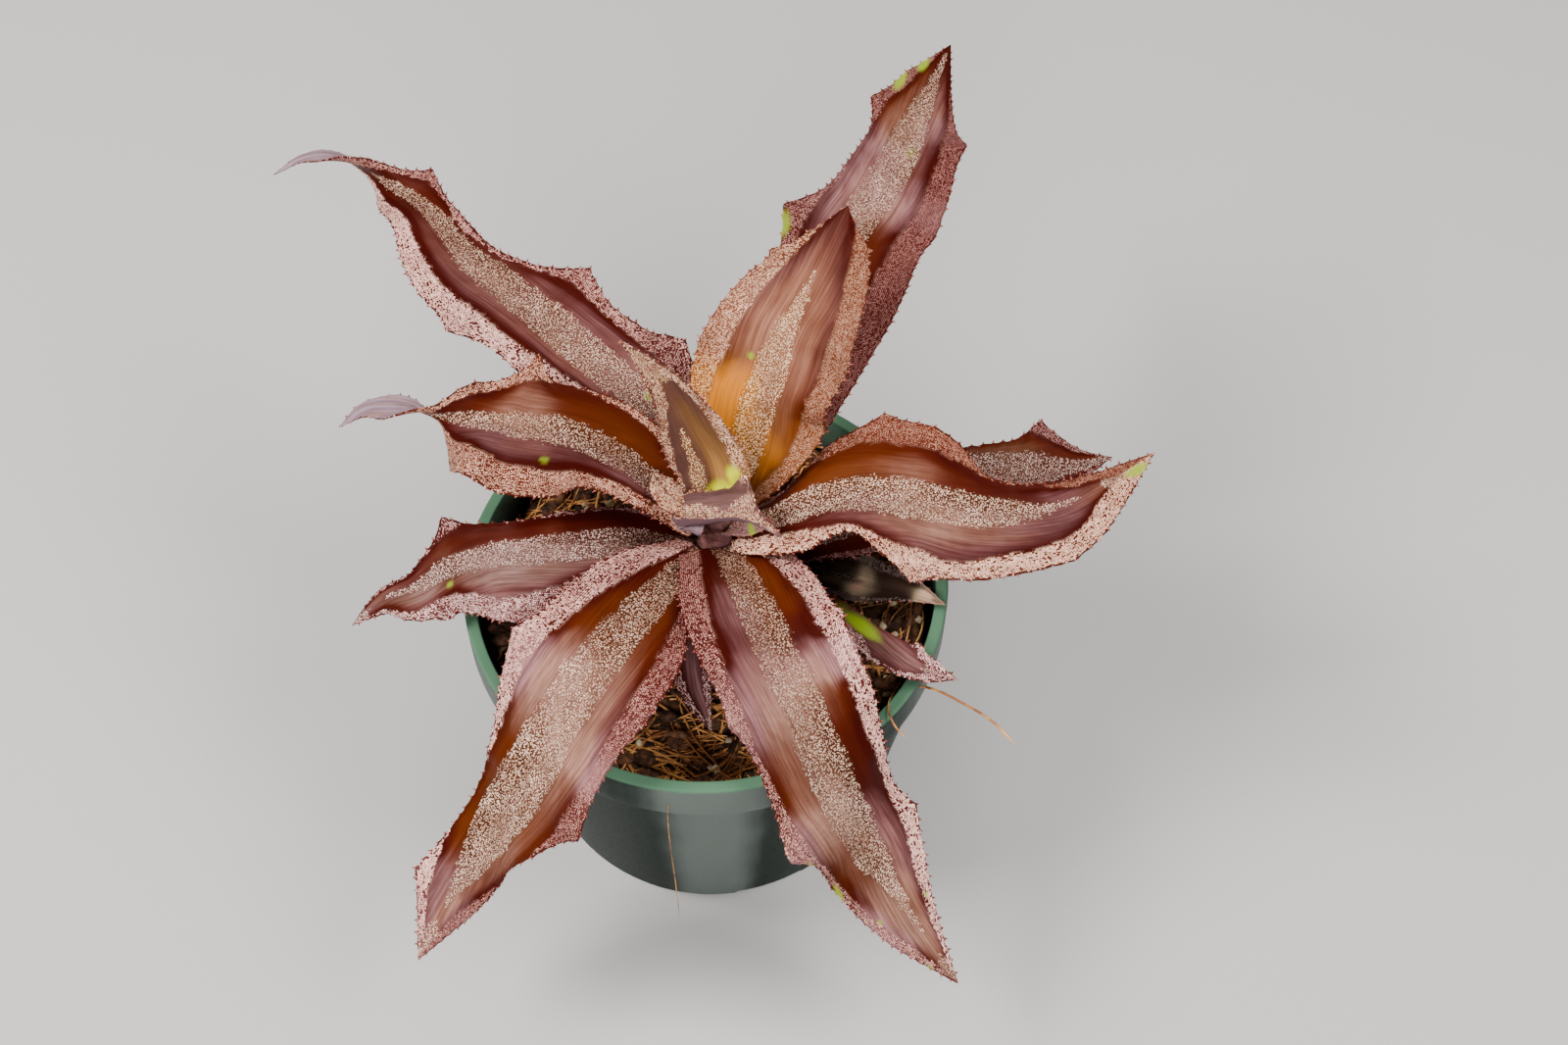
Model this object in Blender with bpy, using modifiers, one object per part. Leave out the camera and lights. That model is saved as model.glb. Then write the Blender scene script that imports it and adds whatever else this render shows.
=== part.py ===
"""Potted menescal cryptanthus: a flat star of waved, saw-edged leaves on a short stem,
in a small round nursery pot filled with bark and coir.

Metres, +Z up. The origin is the centre of the pot's flat underside, and -Y is the front.
Everything is in millimetres in the numbers below, and MM turns them into metres.
"""

import math

import bmesh
import bpy
import numpy as np

MM = 0.001
CLEAR = 0.35

# Pot: a tapered wall under an upright rim band with a flat lip
POT_HEIGHT = 82.0
RIM_RADIUS = 57.15
BAND_HEIGHT = 12.5
BAND_FOOT_RADIUS = 56.6
WALL_TOP_RADIUS = 54.9
FOOT_RADIUS = 43.3
WALL = 1.3
LIP = 3.0
FLOOR = 3.0
POT_STEPS = 48

# Drainage: four notches across the foot, each with a hole up through the floor
NOTCHES = 4
NOTCH_TURN = -70.0
NOTCH_WIDTH = 17.0
NOTCH_LENGTH = 16.0
NOTCH_DEPTH = 1.8
HOLE_RADIUS = 3.5
HOLE_RING = 36.0

# Soil: a filled plug with a lumpy top, lower than the rim
SOIL_TOP = 72.5
SOIL_LUMP = 1.3
SOIL_RINGS = 6
SOIL_STEPS = 36
CHIPS = 26
CHIP_SIZE = (5.5, 3.2, 2.4)
CHIP_REACH = (17.0, 46.0)
CHIP_SEED = 5

# Stem: short and tapered, standing in a plain hole in the soil
STEM_AT = (3.0, 6.0)
STEM_FOOT = 55.0
STEM_TOP = 100.0
STEM_FOOT_RADIUS = 7.0
STEM_TOP_RADIUS = 3.5
STEM_STEPS = 20

# Leaf blades: thick along the middle, thin at the margins, with a spine between each two rows
BLADE = 1.25
MARGIN_SHARE = 0.56
ROW_LENGTH = 6.4
COLUMNS = 6
SPINE_HEIGHT = 1.5
SPINE_BASE = 1.3
SPINE_LEAN = 0.45
UPPER = (0.0, 0.0, 1.0)

# Each leaf leaves the stem at a height, towards the first point of its midrib, and follows it.
# Half widths and margin lifts are at equal steps from the base to the tip. Left and right are
# seen from above, looking from the base to the tip. A cusp is (where, how far out, reach).
LEAVES = {
    "leaf_right_old": dict(
        height=76.5, colour=(0.17, 0.12, 0.09),
        midrib=[(25, 2, 81.5), (38, -3, 83.5), (48, -6, 84.5), (56, -10, 85.5)],
        left=(4, 6, 7, 5, 0), right=(4, 6, 6.5, 4, 0),
        lift_left=(0, 1, 2, 1, 0), lift_right=(0, 1, 1, 1, 0)),
    "leaf_front_small": dict(
        height=79.5, colour=(0.20, 0.07, 0.06),
        midrib=[(-1, -10, 85), (-3, -22, 88), (-2, -32, 86), (2, -41, 81)],
        left=(3.5, 4, 4.5, 4, 0), right=(3.5, 4, 4.5, 4, 0),
        lift_left=(0, 1, 1, 1, 0), lift_right=(0, 1, 1, 1, 0)),
    "leaf_right_small": dict(
        height=79.2, colour=(0.20, 0.09, 0.06),
        midrib=[(18, -4, 82.5), (30, -10, 86), (40, -19, 86.5), (48, -27, 87), (58, -31, 87)],
        left=(4, 5, 5, 4.5, 4.5, 0), right=(4, 5, 5, 5, 5, 0),
        lift_left=(0, 1, 1, 1, 1, 0), lift_right=(0, 1, 1, 1, 1, 0),
        cusps_left=[(0.78, 2, 0.08)], cusps_right=[(0.70, 2, 0.08)]),
    "leaf_right_low": dict(
        height=82, colour=(0.24, 0.10, 0.07),
        midrib=[(25, 11, 85), (43, 16, 87), (62, 22, 88), (79, 26, 87), (98, 33, 84)],
        left=(5, 8, 9, 9, 8, 0), right=(5, 9, 12, 12, 8, 0),
        lift_left=(0, 1, 2, 3, 2, 0), lift_right=(0, 0, 0, 0, 0, 0),
        cusps_left=[(0.83, 4.5, 0.12)]),
    "leaf_left_low": dict(
        height=84, colour=(0.28, 0.12, 0.09),
        midrib=[(-18, 5, 90), (-30, 3, 92), (-41, 3, 92), (-51, 3, 90), (-60, 1, 87),
                (-68, -3, 83), (-76, -4, 79), (-84, -8, 73)],
        left=(5, 10, 17.5, 23, 21.5, 18, 12, 5, 0), right=(5, 8, 9, 8, 5, 6, 4, 3, 0),
        lift_left=(0, 1, 2, 2, 1, 2, 1, 0, 0), lift_right=(0, 1, 1, 1, 2, 3, 1, 0, 0),
        cusps_left=[(0.74, 2.5, 0.04)], cusps_right=[(0.64, 3, 0.06)]),
    "leaf_back_left": dict(
        height=88, colour=(0.32, 0.14, 0.10),
        midrib=[(-13, 36, 102), (-21, 43, 107), (-32, 51, 111), (-43, 59, 114), (-55, 69, 115),
                (-66, 83, 115), (-78, 94, 113), (-92, 107, 108), (-103, 111, 104),
                (-111, 109, 100)],
        left=(4, 11, 18, 19, 17.5, 18.5, 15, 9, 4, 3, 0),
        right=(4, 8, 12, 10.5, 9.5, 4.5, 4, 5, 4, 3, 0),
        lift_left=(0, 0, 0, 0, 1, 2, 1, 1, 0, 0, 0),
        lift_right=(0, 1, 2, 3, 3, 3, 2, 1, 0, 0, 0),
        roll=(0, 0, 0, 0, 0, 0, 0, 0, -80, -160, -175),
        cusps_left=[(0.47, 4.5, 0.05)],
        cusps_right=[(0.23, 3, 0.05), (0.39, 3.5, 0.07), (0.70, 3, 0.06)]),
    "leaf_back_right": dict(
        height=86, colour=(0.30, 0.12, 0.09),
        midrib=[(16, 28, 96), (27, 54, 108), (34, 74, 114), (41, 85, 117), (47, 98, 118),
                (54, 118, 117), (61, 140, 115)],
        left=(4, 6, 13.5, 16, 12.5, 10.5, 9.5, 0), right=(4, 9, 13, 17, 17.5, 13.5, 6, 0),
        lift_left=(0, 1, 2, 2, 3, 2, 2, 0), lift_right=(0, 1, 1, 2, 2, 3, 1, 0),
        cusps_left=[(0.52, 4, 0.06), (0.80, 2.5, 0.06)],
        cusps_right=[(0.58, 1, 0.05), (0.74, 2.5, 0.06)]),
    "leaf_front_left": dict(
        height=89.5, colour=(0.34, 0.15, 0.10),
        midrib=[(-11, -15, 97), (-21, -31, 100.5), (-30, -42, 95), (-41, -52, 78),
                (-51, -58, 61), (-60, -67, 48), (-67, -78, 38)],
        left=(8, 8, 18, 18.5, 18.5, 13, 9, 0), right=(8, 15.5, 17, 17, 11.5, 7.5, 8, 0),
        lift_left=(1, 2, 4, 3, 2, 3, 2, 0), lift_right=(0, 1, 3, 3, 2, 2, 2, 0),
        cusps_left=[(0.37, 1, 0.06), (0.55, 5, 0.07)],
        cusps_right=[(0.37, 2, 0.07), (0.86, 1.5, 0.06)]),
    "leaf_front_right": dict(
        height=92.5, colour=(0.33, 0.14, 0.10),
        midrib=[(9, -11, 99), (14, -27, 102.5), (22, -40, 96), (31, -52, 79), (39, -59, 62),
                (47, -70, 49), (59, -83, 36)],
        left=(8, 15.5, 16.5, 15, 12, 10.5, 6, 0), right=(11, 16, 17, 17, 18.5, 15, 9, 0),
        lift_left=(0, 0, 2, 3, 2, 2, 1, 0), lift_right=(1.5, 2, 3, 2, 3, 3, 2, 0),
        cusps_left=[(0.28, 1, 0.05), (0.68, 1.5, 0.06)],
        cusps_right=[(0.35, 2.4, 0.07), (0.56, 5, 0.06)]),
    "leaf_left": dict(
        height=94, colour=(0.34, 0.13, 0.09),
        midrib=[(-12, 14, 102), (-27, 20, 109), (-43, 21, 113), (-58, 24, 112.5),
                (-66, 27, 110.5), (-74, 31, 107), (-81, 33, 103), (-87, 31, 99)],
        left=(6, 8, 10, 13.5, 19.5, 20.5, 16, 3, 4.5, 3, 0),
        right=(7, 8.5, 12, 12.5, 12, 13, 10, 3, 4.5, 3, 0),
        lift_left=(0, 0, 1, 2, 3, 3, 2, 0, 0, 0, 0), lift_right=(0, 0, 1, 2, 3, 4, 2, 0, 0, 0, 0),
        roll=(0, 0, 0, 0, 0, 0, 0, -90, -165, -175, -175),
        cusps_right=[(0.47, 4, 0.06)]),
    "leaf_right": dict(
        height=95, colour=(0.34, 0.14, 0.10),
        midrib=[(15, 4, 100.3), (32, 6, 108), (47, 4, 110), (63, 1, 108), (79, 3, 106),
                (91, 10, 105), (105, 21, 103)],
        left=(5, 7, 16, 16.5, 8, 6, 3, 0), right=(7, 12, 11, 21, 19, 14.5, 7, 0),
        lift_left=(0, 0, 2, 5, 3, 2, 1, 0), lift_right=(0, 1, 0, 1, 2, 2, 1, 0),
        cusps_left=[(0.33, 2, 0.07)],
        cusps_right=[(0.45, 3.5, 0.08), (0.70, 1.5, 0.05)]),
    "leaf_back": dict(
        height=97, colour=(0.42, 0.20, 0.11),
        midrib=[(10, 19, 106), (12, 27, 114), (15, 33, 120), (18, 39, 126), (23, 46, 131),
                (27, 52, 136), (33, 62, 143)],
        left=(6, 9, 14, 17.5, 15.5, 12.5, 6.5, 0), right=(5, 11.5, 17, 17.5, 19, 16, 11.5, 0),
        lift_left=(1, 2, 3, 3, 3, 2, 1, 0), lift_right=(1, 3, 3, 3, 3, 2, 1, 0),
        cusps_left=[(0.78, 1.5, 0.06)], cusps_right=[(0.90, 2, 0.06)]),
    "leaf_centre_front": dict(
        height=98.6, colour=(0.30, 0.17, 0.15),
        midrib=[(-5.5, 0, 104), (0, -3, 107.5), (9, -3, 110), (18, -9, 107)],
        left=(3, 5, 6, 5, 0), right=(3, 6, 6, 5, 0),
        lift_left=(0, 3, 4, 3, 0), lift_right=(0, 3, 2, 1, 0),
        cusps_left=[(0.7, 4, 0.1)]),
    "leaf_centre": dict(
        height=101.6, colour=(0.40, 0.24, 0.12), facing=(0, -1, 0.3),
        midrib=[(1, 12, 111), (-4, 16, 121), (-8.5, 19.5, 130), (-13, 22, 136), (-18, 24.5, 141)],
        left=(6, 7, 7, 4, 2, 0), right=(6, 7.5, 6.5, 3.5, 1.5, 0),
        lift_left=(3, 3, 3, 2, 1, 0), lift_right=(3, 4, 3, 2, 1, 0)),
}


def add_material(name, colour, roughness):
    material = bpy.data.materials.new(name)
    material.use_nodes = True
    shader = material.node_tree.nodes["Principled BSDF"]
    shader.inputs["Base Color"].default_value = (*colour, 1.0)
    shader.inputs["Roughness"].default_value = roughness
    shader.inputs["Metallic"].default_value = 0.0
    material.diffuse_color = (*colour, 1.0)
    return material


def add_object(name, mesh, collection, material=None):
    obj = bpy.data.objects.new(name, mesh)
    collection.objects.link(obj)
    if material:
        mesh.materials.append(material)
    return obj


def turned(name, profile, steps, collection, material=None):
    """A profile of (radius, height) in millimetres, turned round the Z axis."""
    mesh = bpy.data.meshes.new(name)
    points = [(radius * MM, 0.0, height * MM) for radius, height in profile]
    mesh.from_pydata(points, [(i, i + 1) for i in range(len(points) - 1)], [])
    obj = add_object(name, mesh, collection, material)
    screw = obj.modifiers.new("Turn", "SCREW")
    screw.steps = screw.render_steps = steps
    screw.use_merge_vertices = True
    screw.merge_threshold = 0.00001
    screw.use_smooth_shade = True
    return obj


def applied(obj):
    """Swaps the object's mesh for its evaluated one and drops the modifiers."""
    graph = bpy.context.evaluated_depsgraph_get()
    mesh = bpy.data.meshes.new_from_object(obj.evaluated_get(graph))
    obj.modifiers.clear()
    obj.data = mesh
    return obj


def cut(obj, cutter):
    cutter.hide_render = True
    cutter.display_type = "WIRE"
    boolean = obj.modifiers.new("Cut " + cutter.name, "BOOLEAN")
    boolean.operation = "DIFFERENCE"
    boolean.object = cutter


def drain_cutter(name, turn, collection):
    """One notch across the foot and the round hole above it."""
    bm = bmesh.new()
    notch = bmesh.ops.create_cube(bm, size=1.0)["verts"]
    bmesh.ops.scale(bm, vec=(NOTCH_LENGTH * MM, NOTCH_WIDTH * MM, 2 * NOTCH_DEPTH * MM), verts=notch)
    reach = FOOT_RADIUS + 3 - NOTCH_LENGTH / 2
    bmesh.ops.translate(bm, vec=(reach * MM, 0, 0), verts=notch)
    mesh = bpy.data.meshes.new(name)
    bm.to_mesh(mesh)
    bm.free()
    obj = add_object(name, mesh, collection)
    obj.rotation_euler.z = math.radians(turn)
    return obj


def hole_cutter(name, radius, low, high, at, steps, collection):
    bm = bmesh.new()
    bmesh.ops.create_cone(bm, cap_ends=True, segments=steps, radius1=radius * MM,
                          radius2=radius * MM, depth=(high - low) * MM)
    mesh = bpy.data.meshes.new(name)
    bm.to_mesh(mesh)
    bm.free()
    obj = add_object(name, mesh, collection)
    obj.location = (at[0] * MM, at[1] * MM, (low + high) / 2 * MM)
    return obj


def wall_radius(height):
    """The outside of the pot's wall below the rim band, which tapers in to the foot."""
    return FOOT_RADIUS + (WALL_TOP_RADIUS - FOOT_RADIUS) * height / (POT_HEIGHT - BAND_HEIGHT)


def make_pot(parts, cutters):
    band_foot = POT_HEIGHT - BAND_HEIGHT
    profile = [
        (0.0, FLOOR),
        (wall_radius(FLOOR) - WALL, FLOOR),
        (wall_radius(band_foot) - WALL, band_foot),
        (RIM_RADIUS - LIP, band_foot + 2.0),
        (RIM_RADIUS - LIP, POT_HEIGHT - 0.4),
        (RIM_RADIUS - LIP + 0.4, POT_HEIGHT),
        (RIM_RADIUS - 0.7, POT_HEIGHT),
        (RIM_RADIUS, POT_HEIGHT - 0.7),
        (BAND_FOOT_RADIUS, band_foot + 0.3),
        (BAND_FOOT_RADIUS - 0.4, band_foot),
        (WALL_TOP_RADIUS, band_foot - 0.5),
        (wall_radius(1.2), 1.2),
        (FOOT_RADIUS - 0.8, 0.0),
        (0.0, 0.0),
    ]
    pot = turned("pot", profile, POT_STEPS, parts, add_material("pot", (0.028, 0.06, 0.048), 0.38))
    for index in range(NOTCHES):
        turn = NOTCH_TURN + index * 360.0 / NOTCHES
        cut(pot, drain_cutter(f"notch_{index + 1}", turn, cutters))
        where = math.radians(turn)
        at = (HOLE_RING * math.cos(where), HOLE_RING * math.sin(where))
        cut(pot, hole_cutter(f"drain_{index + 1}", HOLE_RADIUS, -2, FLOOR + 1, at, 12, cutters))
    applied(pot)
    pot.data.set_sharp_from_angle(angle=math.radians(30))
    return pot


def soil_lump(x, y):
    """Low lumps over the soil's top, in millimetres."""
    return SOIL_LUMP * (0.5 * np.sin(0.31 * x + 1.0) * np.cos(0.27 * y)
                        + 0.35 * np.sin(0.19 * x - 0.36 * y + 2.1)
                        + 0.25 * np.cos(0.55 * x + 0.41 * y + 0.4))


def bark_chip(name, x, y, size, turn, tilt, collection):
    """One bevelled flake of bark, lying tilted and half sunk in the soil."""
    bm = bmesh.new()
    flake = bmesh.ops.create_cube(bm, size=MM)["verts"]
    bmesh.ops.scale(bm, vec=size, verts=flake)
    for vertex in flake:
        if vertex.co.x > 0:
            vertex.co.y *= 0.55
    mesh = bpy.data.meshes.new(name)
    bm.to_mesh(mesh)
    bm.free()
    obj = add_object(name, mesh, collection)
    obj.location = (x * MM, y * MM, (SOIL_TOP + soil_lump(x, y)) * MM)
    obj.rotation_euler = (tilt, -tilt, turn)
    return obj


def add_chips(soil):
    """Bark flakes spread evenly over the soil's top and fused into it."""
    chips = bpy.data.collections.new("bark_chips")
    bpy.context.scene.collection.children.link(chips)
    rng = np.random.default_rng(CHIP_SEED)
    low, high = CHIP_REACH
    for index in range(CHIPS):
        reach = math.sqrt(low**2 + (high**2 - low**2) * (index + 0.5) / CHIPS)
        around = index * math.pi * (3 - math.sqrt(5))
        size = np.array(CHIP_SIZE) * rng.uniform(0.75, 1.25)
        bark_chip(f"chip_{index + 1}", reach * math.cos(around), reach * math.sin(around), size,
                  rng.uniform(0, math.pi), rng.uniform(-0.3, 0.3), chips)
    union = soil.modifiers.new("Chips", "BOOLEAN")
    union.operation = "UNION"
    union.operand_type = "COLLECTION"
    union.collection = chips
    applied(soil)
    for chip in list(chips.objects):
        bpy.data.objects.remove(chip, do_unlink=True)
    bpy.data.collections.remove(chips)


def make_soil(parts, cutters):
    low = FLOOR + CLEAR
    edge = wall_radius(SOIL_TOP - 4) - WALL - CLEAR - 0.6
    profile = [(edge * ring / SOIL_RINGS, SOIL_TOP) for ring in range(SOIL_RINGS + 1)]
    profile[-1] = (edge, SOIL_TOP - 5.0)
    profile += [(wall_radius(low) - WALL - CLEAR, low), (0.0, low)]
    soil = turned("soil", profile, SOIL_STEPS, parts, add_material("soil", (0.05, 0.03, 0.02), 0.95))
    applied(soil)
    for vertex in soil.data.vertices:
        x, y, z = (value / MM for value in vertex.co)
        if z > SOIL_TOP - 1.0:
            vertex.co.z += soil_lump(x, y) * MM
    radius = STEM_FOOT_RADIUS + CLEAR
    cut(soil, hole_cutter("stem_hole", radius, STEM_FOOT - CLEAR, SOIL_TOP + 9, STEM_AT, STEM_STEPS, cutters))
    applied(soil)
    add_chips(soil)
    soil.data.set_sharp_from_angle(angle=math.radians(50))
    return soil


def stem_radius(height):
    share = (height - SOIL_TOP) / (STEM_TOP - SOIL_TOP)
    return STEM_FOOT_RADIUS + (STEM_TOP_RADIUS - STEM_FOOT_RADIUS) * min(max(share, 0.0), 1.0)


def make_stem(parts):
    """A tapered stem with low rings where old leaves have dropped."""
    profile = [(0.0, STEM_TOP), (STEM_TOP_RADIUS - 0.8, STEM_TOP), (STEM_TOP_RADIUS, STEM_TOP - 0.8)]
    for height in np.arange(STEM_TOP - 4.0, SOIL_TOP + 2.0, -4.0):
        profile += [(stem_radius(height), height), (stem_radius(height) - 0.35, height - 0.8)]
    profile += [(STEM_FOOT_RADIUS, SOIL_TOP), (STEM_FOOT_RADIUS, STEM_FOOT), (0.0, STEM_FOOT)]
    stem = turned("stem", profile, STEM_STEPS, parts, add_material("stem", (0.16, 0.13, 0.05), 0.7))
    stem.location = (STEM_AT[0] * MM, STEM_AT[1] * MM, 0.0)
    return stem


def curve_at(values, t):
    """A smooth curve through the values at equal steps, read at t from 0 to 1."""
    values = np.asarray(values, float)
    values = values.reshape(len(values), -1)
    last = len(values) - 1
    place = np.clip(t, 0.0, 1.0) * last
    index = np.minimum(place.astype(int), last - 1)
    part = (place - index)[:, None]
    ends = np.vstack([2 * values[0] - values[1], values, 2 * values[-1] - values[-2]])
    a, b, c, d = (ends[index + step] for step in range(4))
    return 0.5 * (2 * b + (c - a) * part + (2 * a - 5 * b + 4 * c - d) * part**2
                  + (3 * b - 3 * c + d - a) * part**3)


def unit(vectors):
    return vectors / np.linalg.norm(vectors, axis=-1, keepdims=True)


def midrib_of(leaf):
    """The midrib from the stem's surface outwards: its points, how far along each is, its length."""
    reach = stem_radius(leaf["height"]) + CLEAR if leaf["height"] < STEM_TOP else 1.0
    first = leaf["midrib"][0]
    turn = math.atan2(first[1] - STEM_AT[1], first[0] - STEM_AT[0])
    base = (STEM_AT[0] + reach * math.cos(turn), STEM_AT[1] + reach * math.sin(turn), leaf["height"])
    dense = curve_at([base, *leaf["midrib"]], np.linspace(0, 1, 400))
    run = np.concatenate([[0.0], np.cumsum(np.linalg.norm(np.diff(dense, axis=0), axis=1))])
    return dense, run / run[-1], run[-1]


def cusp_at(cusps, t):
    """Pointed waves that stand out from a margin."""
    return sum((size * np.clip(1 - abs(t - where) / reach, 0, 1) ** 2 for where, size, reach in cusps),
               np.zeros_like(t))


def leaf_surface(leaf, t, v):
    """Points in millimetres at t from base to tip and v from -1, the right margin, to 1, the left."""
    dense, run, length = midrib_of(leaf)
    at = lambda s: np.stack([np.interp(s, run, dense[:, axis]) for axis in range(3)], -1)
    along = unit(at(np.clip(t + 0.015, 0, 1)) - at(np.clip(t - 0.015, 0, 1)))
    left = unit(np.cross(leaf.get("facing", UPPER), along))
    up = np.cross(along, left)
    roll = np.radians(curve_at(leaf.get("roll", (0, 0)), t))
    across = left * np.cos(roll) + up * np.sin(roll)
    normal = up * np.cos(roll) - left * np.sin(roll)
    out = abs(v)
    sides = []
    for side in ("left", "right"):
        cusp = cusp_at(leaf.get("cusps_" + side, ()), t)
        sides.append((curve_at(leaf[side], t)[:, 0] + cusp, curve_at(leaf["lift_" + side], t)[:, 0] + 0.8 * cusp))
    width = np.where(v >= 0, sides[0][0], sides[1][0])
    lift = np.where(v >= 0, sides[0][1], sides[1][1])
    bulge = np.sin(math.pi * out) ** 2 * np.minimum(1, width / 10)
    return at(t) + across * (width * v)[:, None] + normal * (lift * out**2.2 + bulge)[:, None]


def leaf_rows(leaf, length):
    """Rows at even steps, with the nearest one moved onto each cusp."""
    count = max(7, round(length / ROW_LENGTH))
    rows = np.linspace(0, 1, count + 1)
    for where, size, reach in [*leaf.get("cusps_left", ()), *leaf.get("cusps_right", ())]:
        nearest = 1 + int(np.argmin(abs(rows[1:-1] - where)))
        rows[nearest] = where
    return rows


def add_spine(bm, edge, inner):
    """A small forward-pointing spine on one margin edge."""
    start, end = edge.verts
    length = edge.calc_length()
    base = min(SPINE_BASE * MM, 0.6 * length)
    if start.co.xy.length > 0 and start.index > end.index:
        start, end = end, start
    along = (end.co - start.co).normalized()
    middle = (start.co + end.co) / 2
    out = middle - inner
    out = (out - along * out.dot(along)).normalized()
    first = bmesh.utils.edge_split(edge, start, 0.5 - 0.5 * base / length)
    near = first[1]
    rest = next(e for e in near.link_edges if end in e.verts)
    second = bmesh.utils.edge_split(rest, near, base / (0.5 * length + 0.5 * base))
    root = next(e for e in near.link_edges if second[1] in e.verts)
    made = bmesh.ops.extrude_edge_only(bm, edges=[root])["geom"]
    tips = [item for item in made if isinstance(item, bmesh.types.BMVert)]
    point = middle + (out + along * SPINE_LEAN) * SPINE_HEIGHT * MM
    bmesh.ops.pointmerge(bm, verts=tips, merge_co=point)


def make_leaf(name, leaf, parts):
    length = midrib_of(leaf)[2]
    rows = leaf_rows(leaf, length)
    wide = max(max(leaf["left"]), max(leaf["right"])) > 9
    columns = COLUMNS if wide else COLUMNS - 2
    bm = bmesh.new()
    bmesh.ops.create_grid(bm, x_segments=len(rows) - 1, y_segments=columns, size=1.0)
    bm.verts.ensure_lookup_table()
    place = np.array([vertex.co.xy for vertex in bm.verts])
    row = np.rint((place[:, 0] + 1) / 2 * (len(rows) - 1)).astype(int)
    column = np.rint((place[:, 1] + 1) / 2 * columns).astype(int)
    v = np.sin(np.linspace(-1, 1, columns + 1) * math.pi / 2 * 0.8) / math.sin(math.pi / 2 * 0.8)
    points = leaf_surface(leaf, rows[row], v[column]) * MM
    for vertex, point in zip(bm.verts, points):
        vertex.co = point
    at = {(r, c): vertex for r, c, vertex in zip(row, column, bm.verts)}
    margins = []
    for margin, inside in ((0, 1), (columns, columns - 1)):
        for r in range(1, len(rows) - 2):
            edge = bm.edges.get((at[r, margin], at[r + 1, margin]))
            margins.append((edge, (at[r, inside].co + at[r + 1, inside].co) / 2))
    for edge, inner in margins:
        add_spine(bm, edge, inner)
    bmesh.ops.remove_doubles(bm, verts=bm.verts, dist=0.00001)
    bmesh.ops.triangulate(bm, faces=bm.faces)
    edge_points = [vertex.is_boundary for vertex in bm.verts]
    for face in bm.faces:
        face.smooth = True
    mesh = bpy.data.meshes.new(name)
    bm.to_mesh(mesh)
    bm.free()
    obj = add_object(name, mesh, parts, add_material(name, leaf["colour"], 0.35))
    group = obj.vertex_groups.new(name="thick")
    group.add([i for i, on_edge in enumerate(edge_points) if not on_edge], 1.0, "REPLACE")
    shell = obj.modifiers.new("Blade", "SOLIDIFY")
    shell.thickness = BLADE * MM
    shell.offset = -1.0
    shell.vertex_group = group.name
    shell.thickness_vertex_group = MARGIN_SHARE
    return obj


def main():
    for obj in list(bpy.data.objects):
        bpy.data.objects.remove(obj, do_unlink=True)
    parts = bpy.data.collections.new("potted_cryptanthus")
    cutters = bpy.data.collections.new("cutters")
    bpy.context.scene.collection.children.link(parts)
    bpy.context.scene.collection.children.link(cutters)
    make_pot(parts, cutters)
    make_soil(parts, cutters)
    make_stem(parts)
    for name, leaf in LEAVES.items():
        make_leaf(name, leaf, parts)


main()
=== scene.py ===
# A potted menescal cryptanthus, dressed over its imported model.
# Lengths in the dictionaries are in millimetres, and mm turns them into metres.
import math

import bpy
import numpy as np
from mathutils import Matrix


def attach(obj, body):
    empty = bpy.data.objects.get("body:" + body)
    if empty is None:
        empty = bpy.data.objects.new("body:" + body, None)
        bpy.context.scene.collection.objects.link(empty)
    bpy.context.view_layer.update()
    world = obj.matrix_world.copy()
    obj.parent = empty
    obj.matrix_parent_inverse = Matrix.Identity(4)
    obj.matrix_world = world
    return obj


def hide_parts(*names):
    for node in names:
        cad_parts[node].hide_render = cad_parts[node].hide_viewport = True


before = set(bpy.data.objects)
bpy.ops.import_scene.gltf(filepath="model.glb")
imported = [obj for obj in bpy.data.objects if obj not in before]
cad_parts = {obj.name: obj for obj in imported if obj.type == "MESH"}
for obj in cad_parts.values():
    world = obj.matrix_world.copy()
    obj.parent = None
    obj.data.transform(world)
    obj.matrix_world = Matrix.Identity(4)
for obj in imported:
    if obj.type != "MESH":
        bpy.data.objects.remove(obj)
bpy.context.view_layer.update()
scene = bpy.context.scene
mm = 0.001
print("frame loaded with", len(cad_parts), "nodes")


def smoothstep(low, high, x):
    # 0 below low, 1 above high, and an S-shaped rise between them
    s = np.clip((x - low) / (high - low), 0.0, 1.0)
    return s * s * (3.0 - 2.0 * s)


def curveAt(values, t):
    # a smooth curve through the values at equal steps, read at t from 0 to 1
    values = np.asarray(values, float)
    values = values.reshape(len(values), -1)
    last = len(values) - 1
    place = np.clip(t, 0.0, 1.0) * last
    index = np.minimum(place.astype(int), last - 1)
    part = (place - index)[..., None]
    ends = np.vstack([2 * values[0] - values[1], values, 2 * values[-1] - values[-2]])
    a, b, c, d = (ends[index + step] for step in range(4))
    return 0.5 * (2 * b + (c - a) * part + (2 * a - 5 * b + 4 * c - d) * part**2
                  + (3 * b - 3 * c + d - a) * part**3)


def listAt(values, t):
    # curveAt for a list of single numbers
    return curveAt(values, t)[..., 0]


def lineAt(values, t):
    # straight lines through the values at equal steps
    return np.interp(t, np.linspace(0, 1, len(values)), values)


def unit(vectors):
    # each vector over its own length
    return vectors / np.maximum(np.linalg.norm(vectors, axis=-1, keepdims=True), 1e-12)


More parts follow.
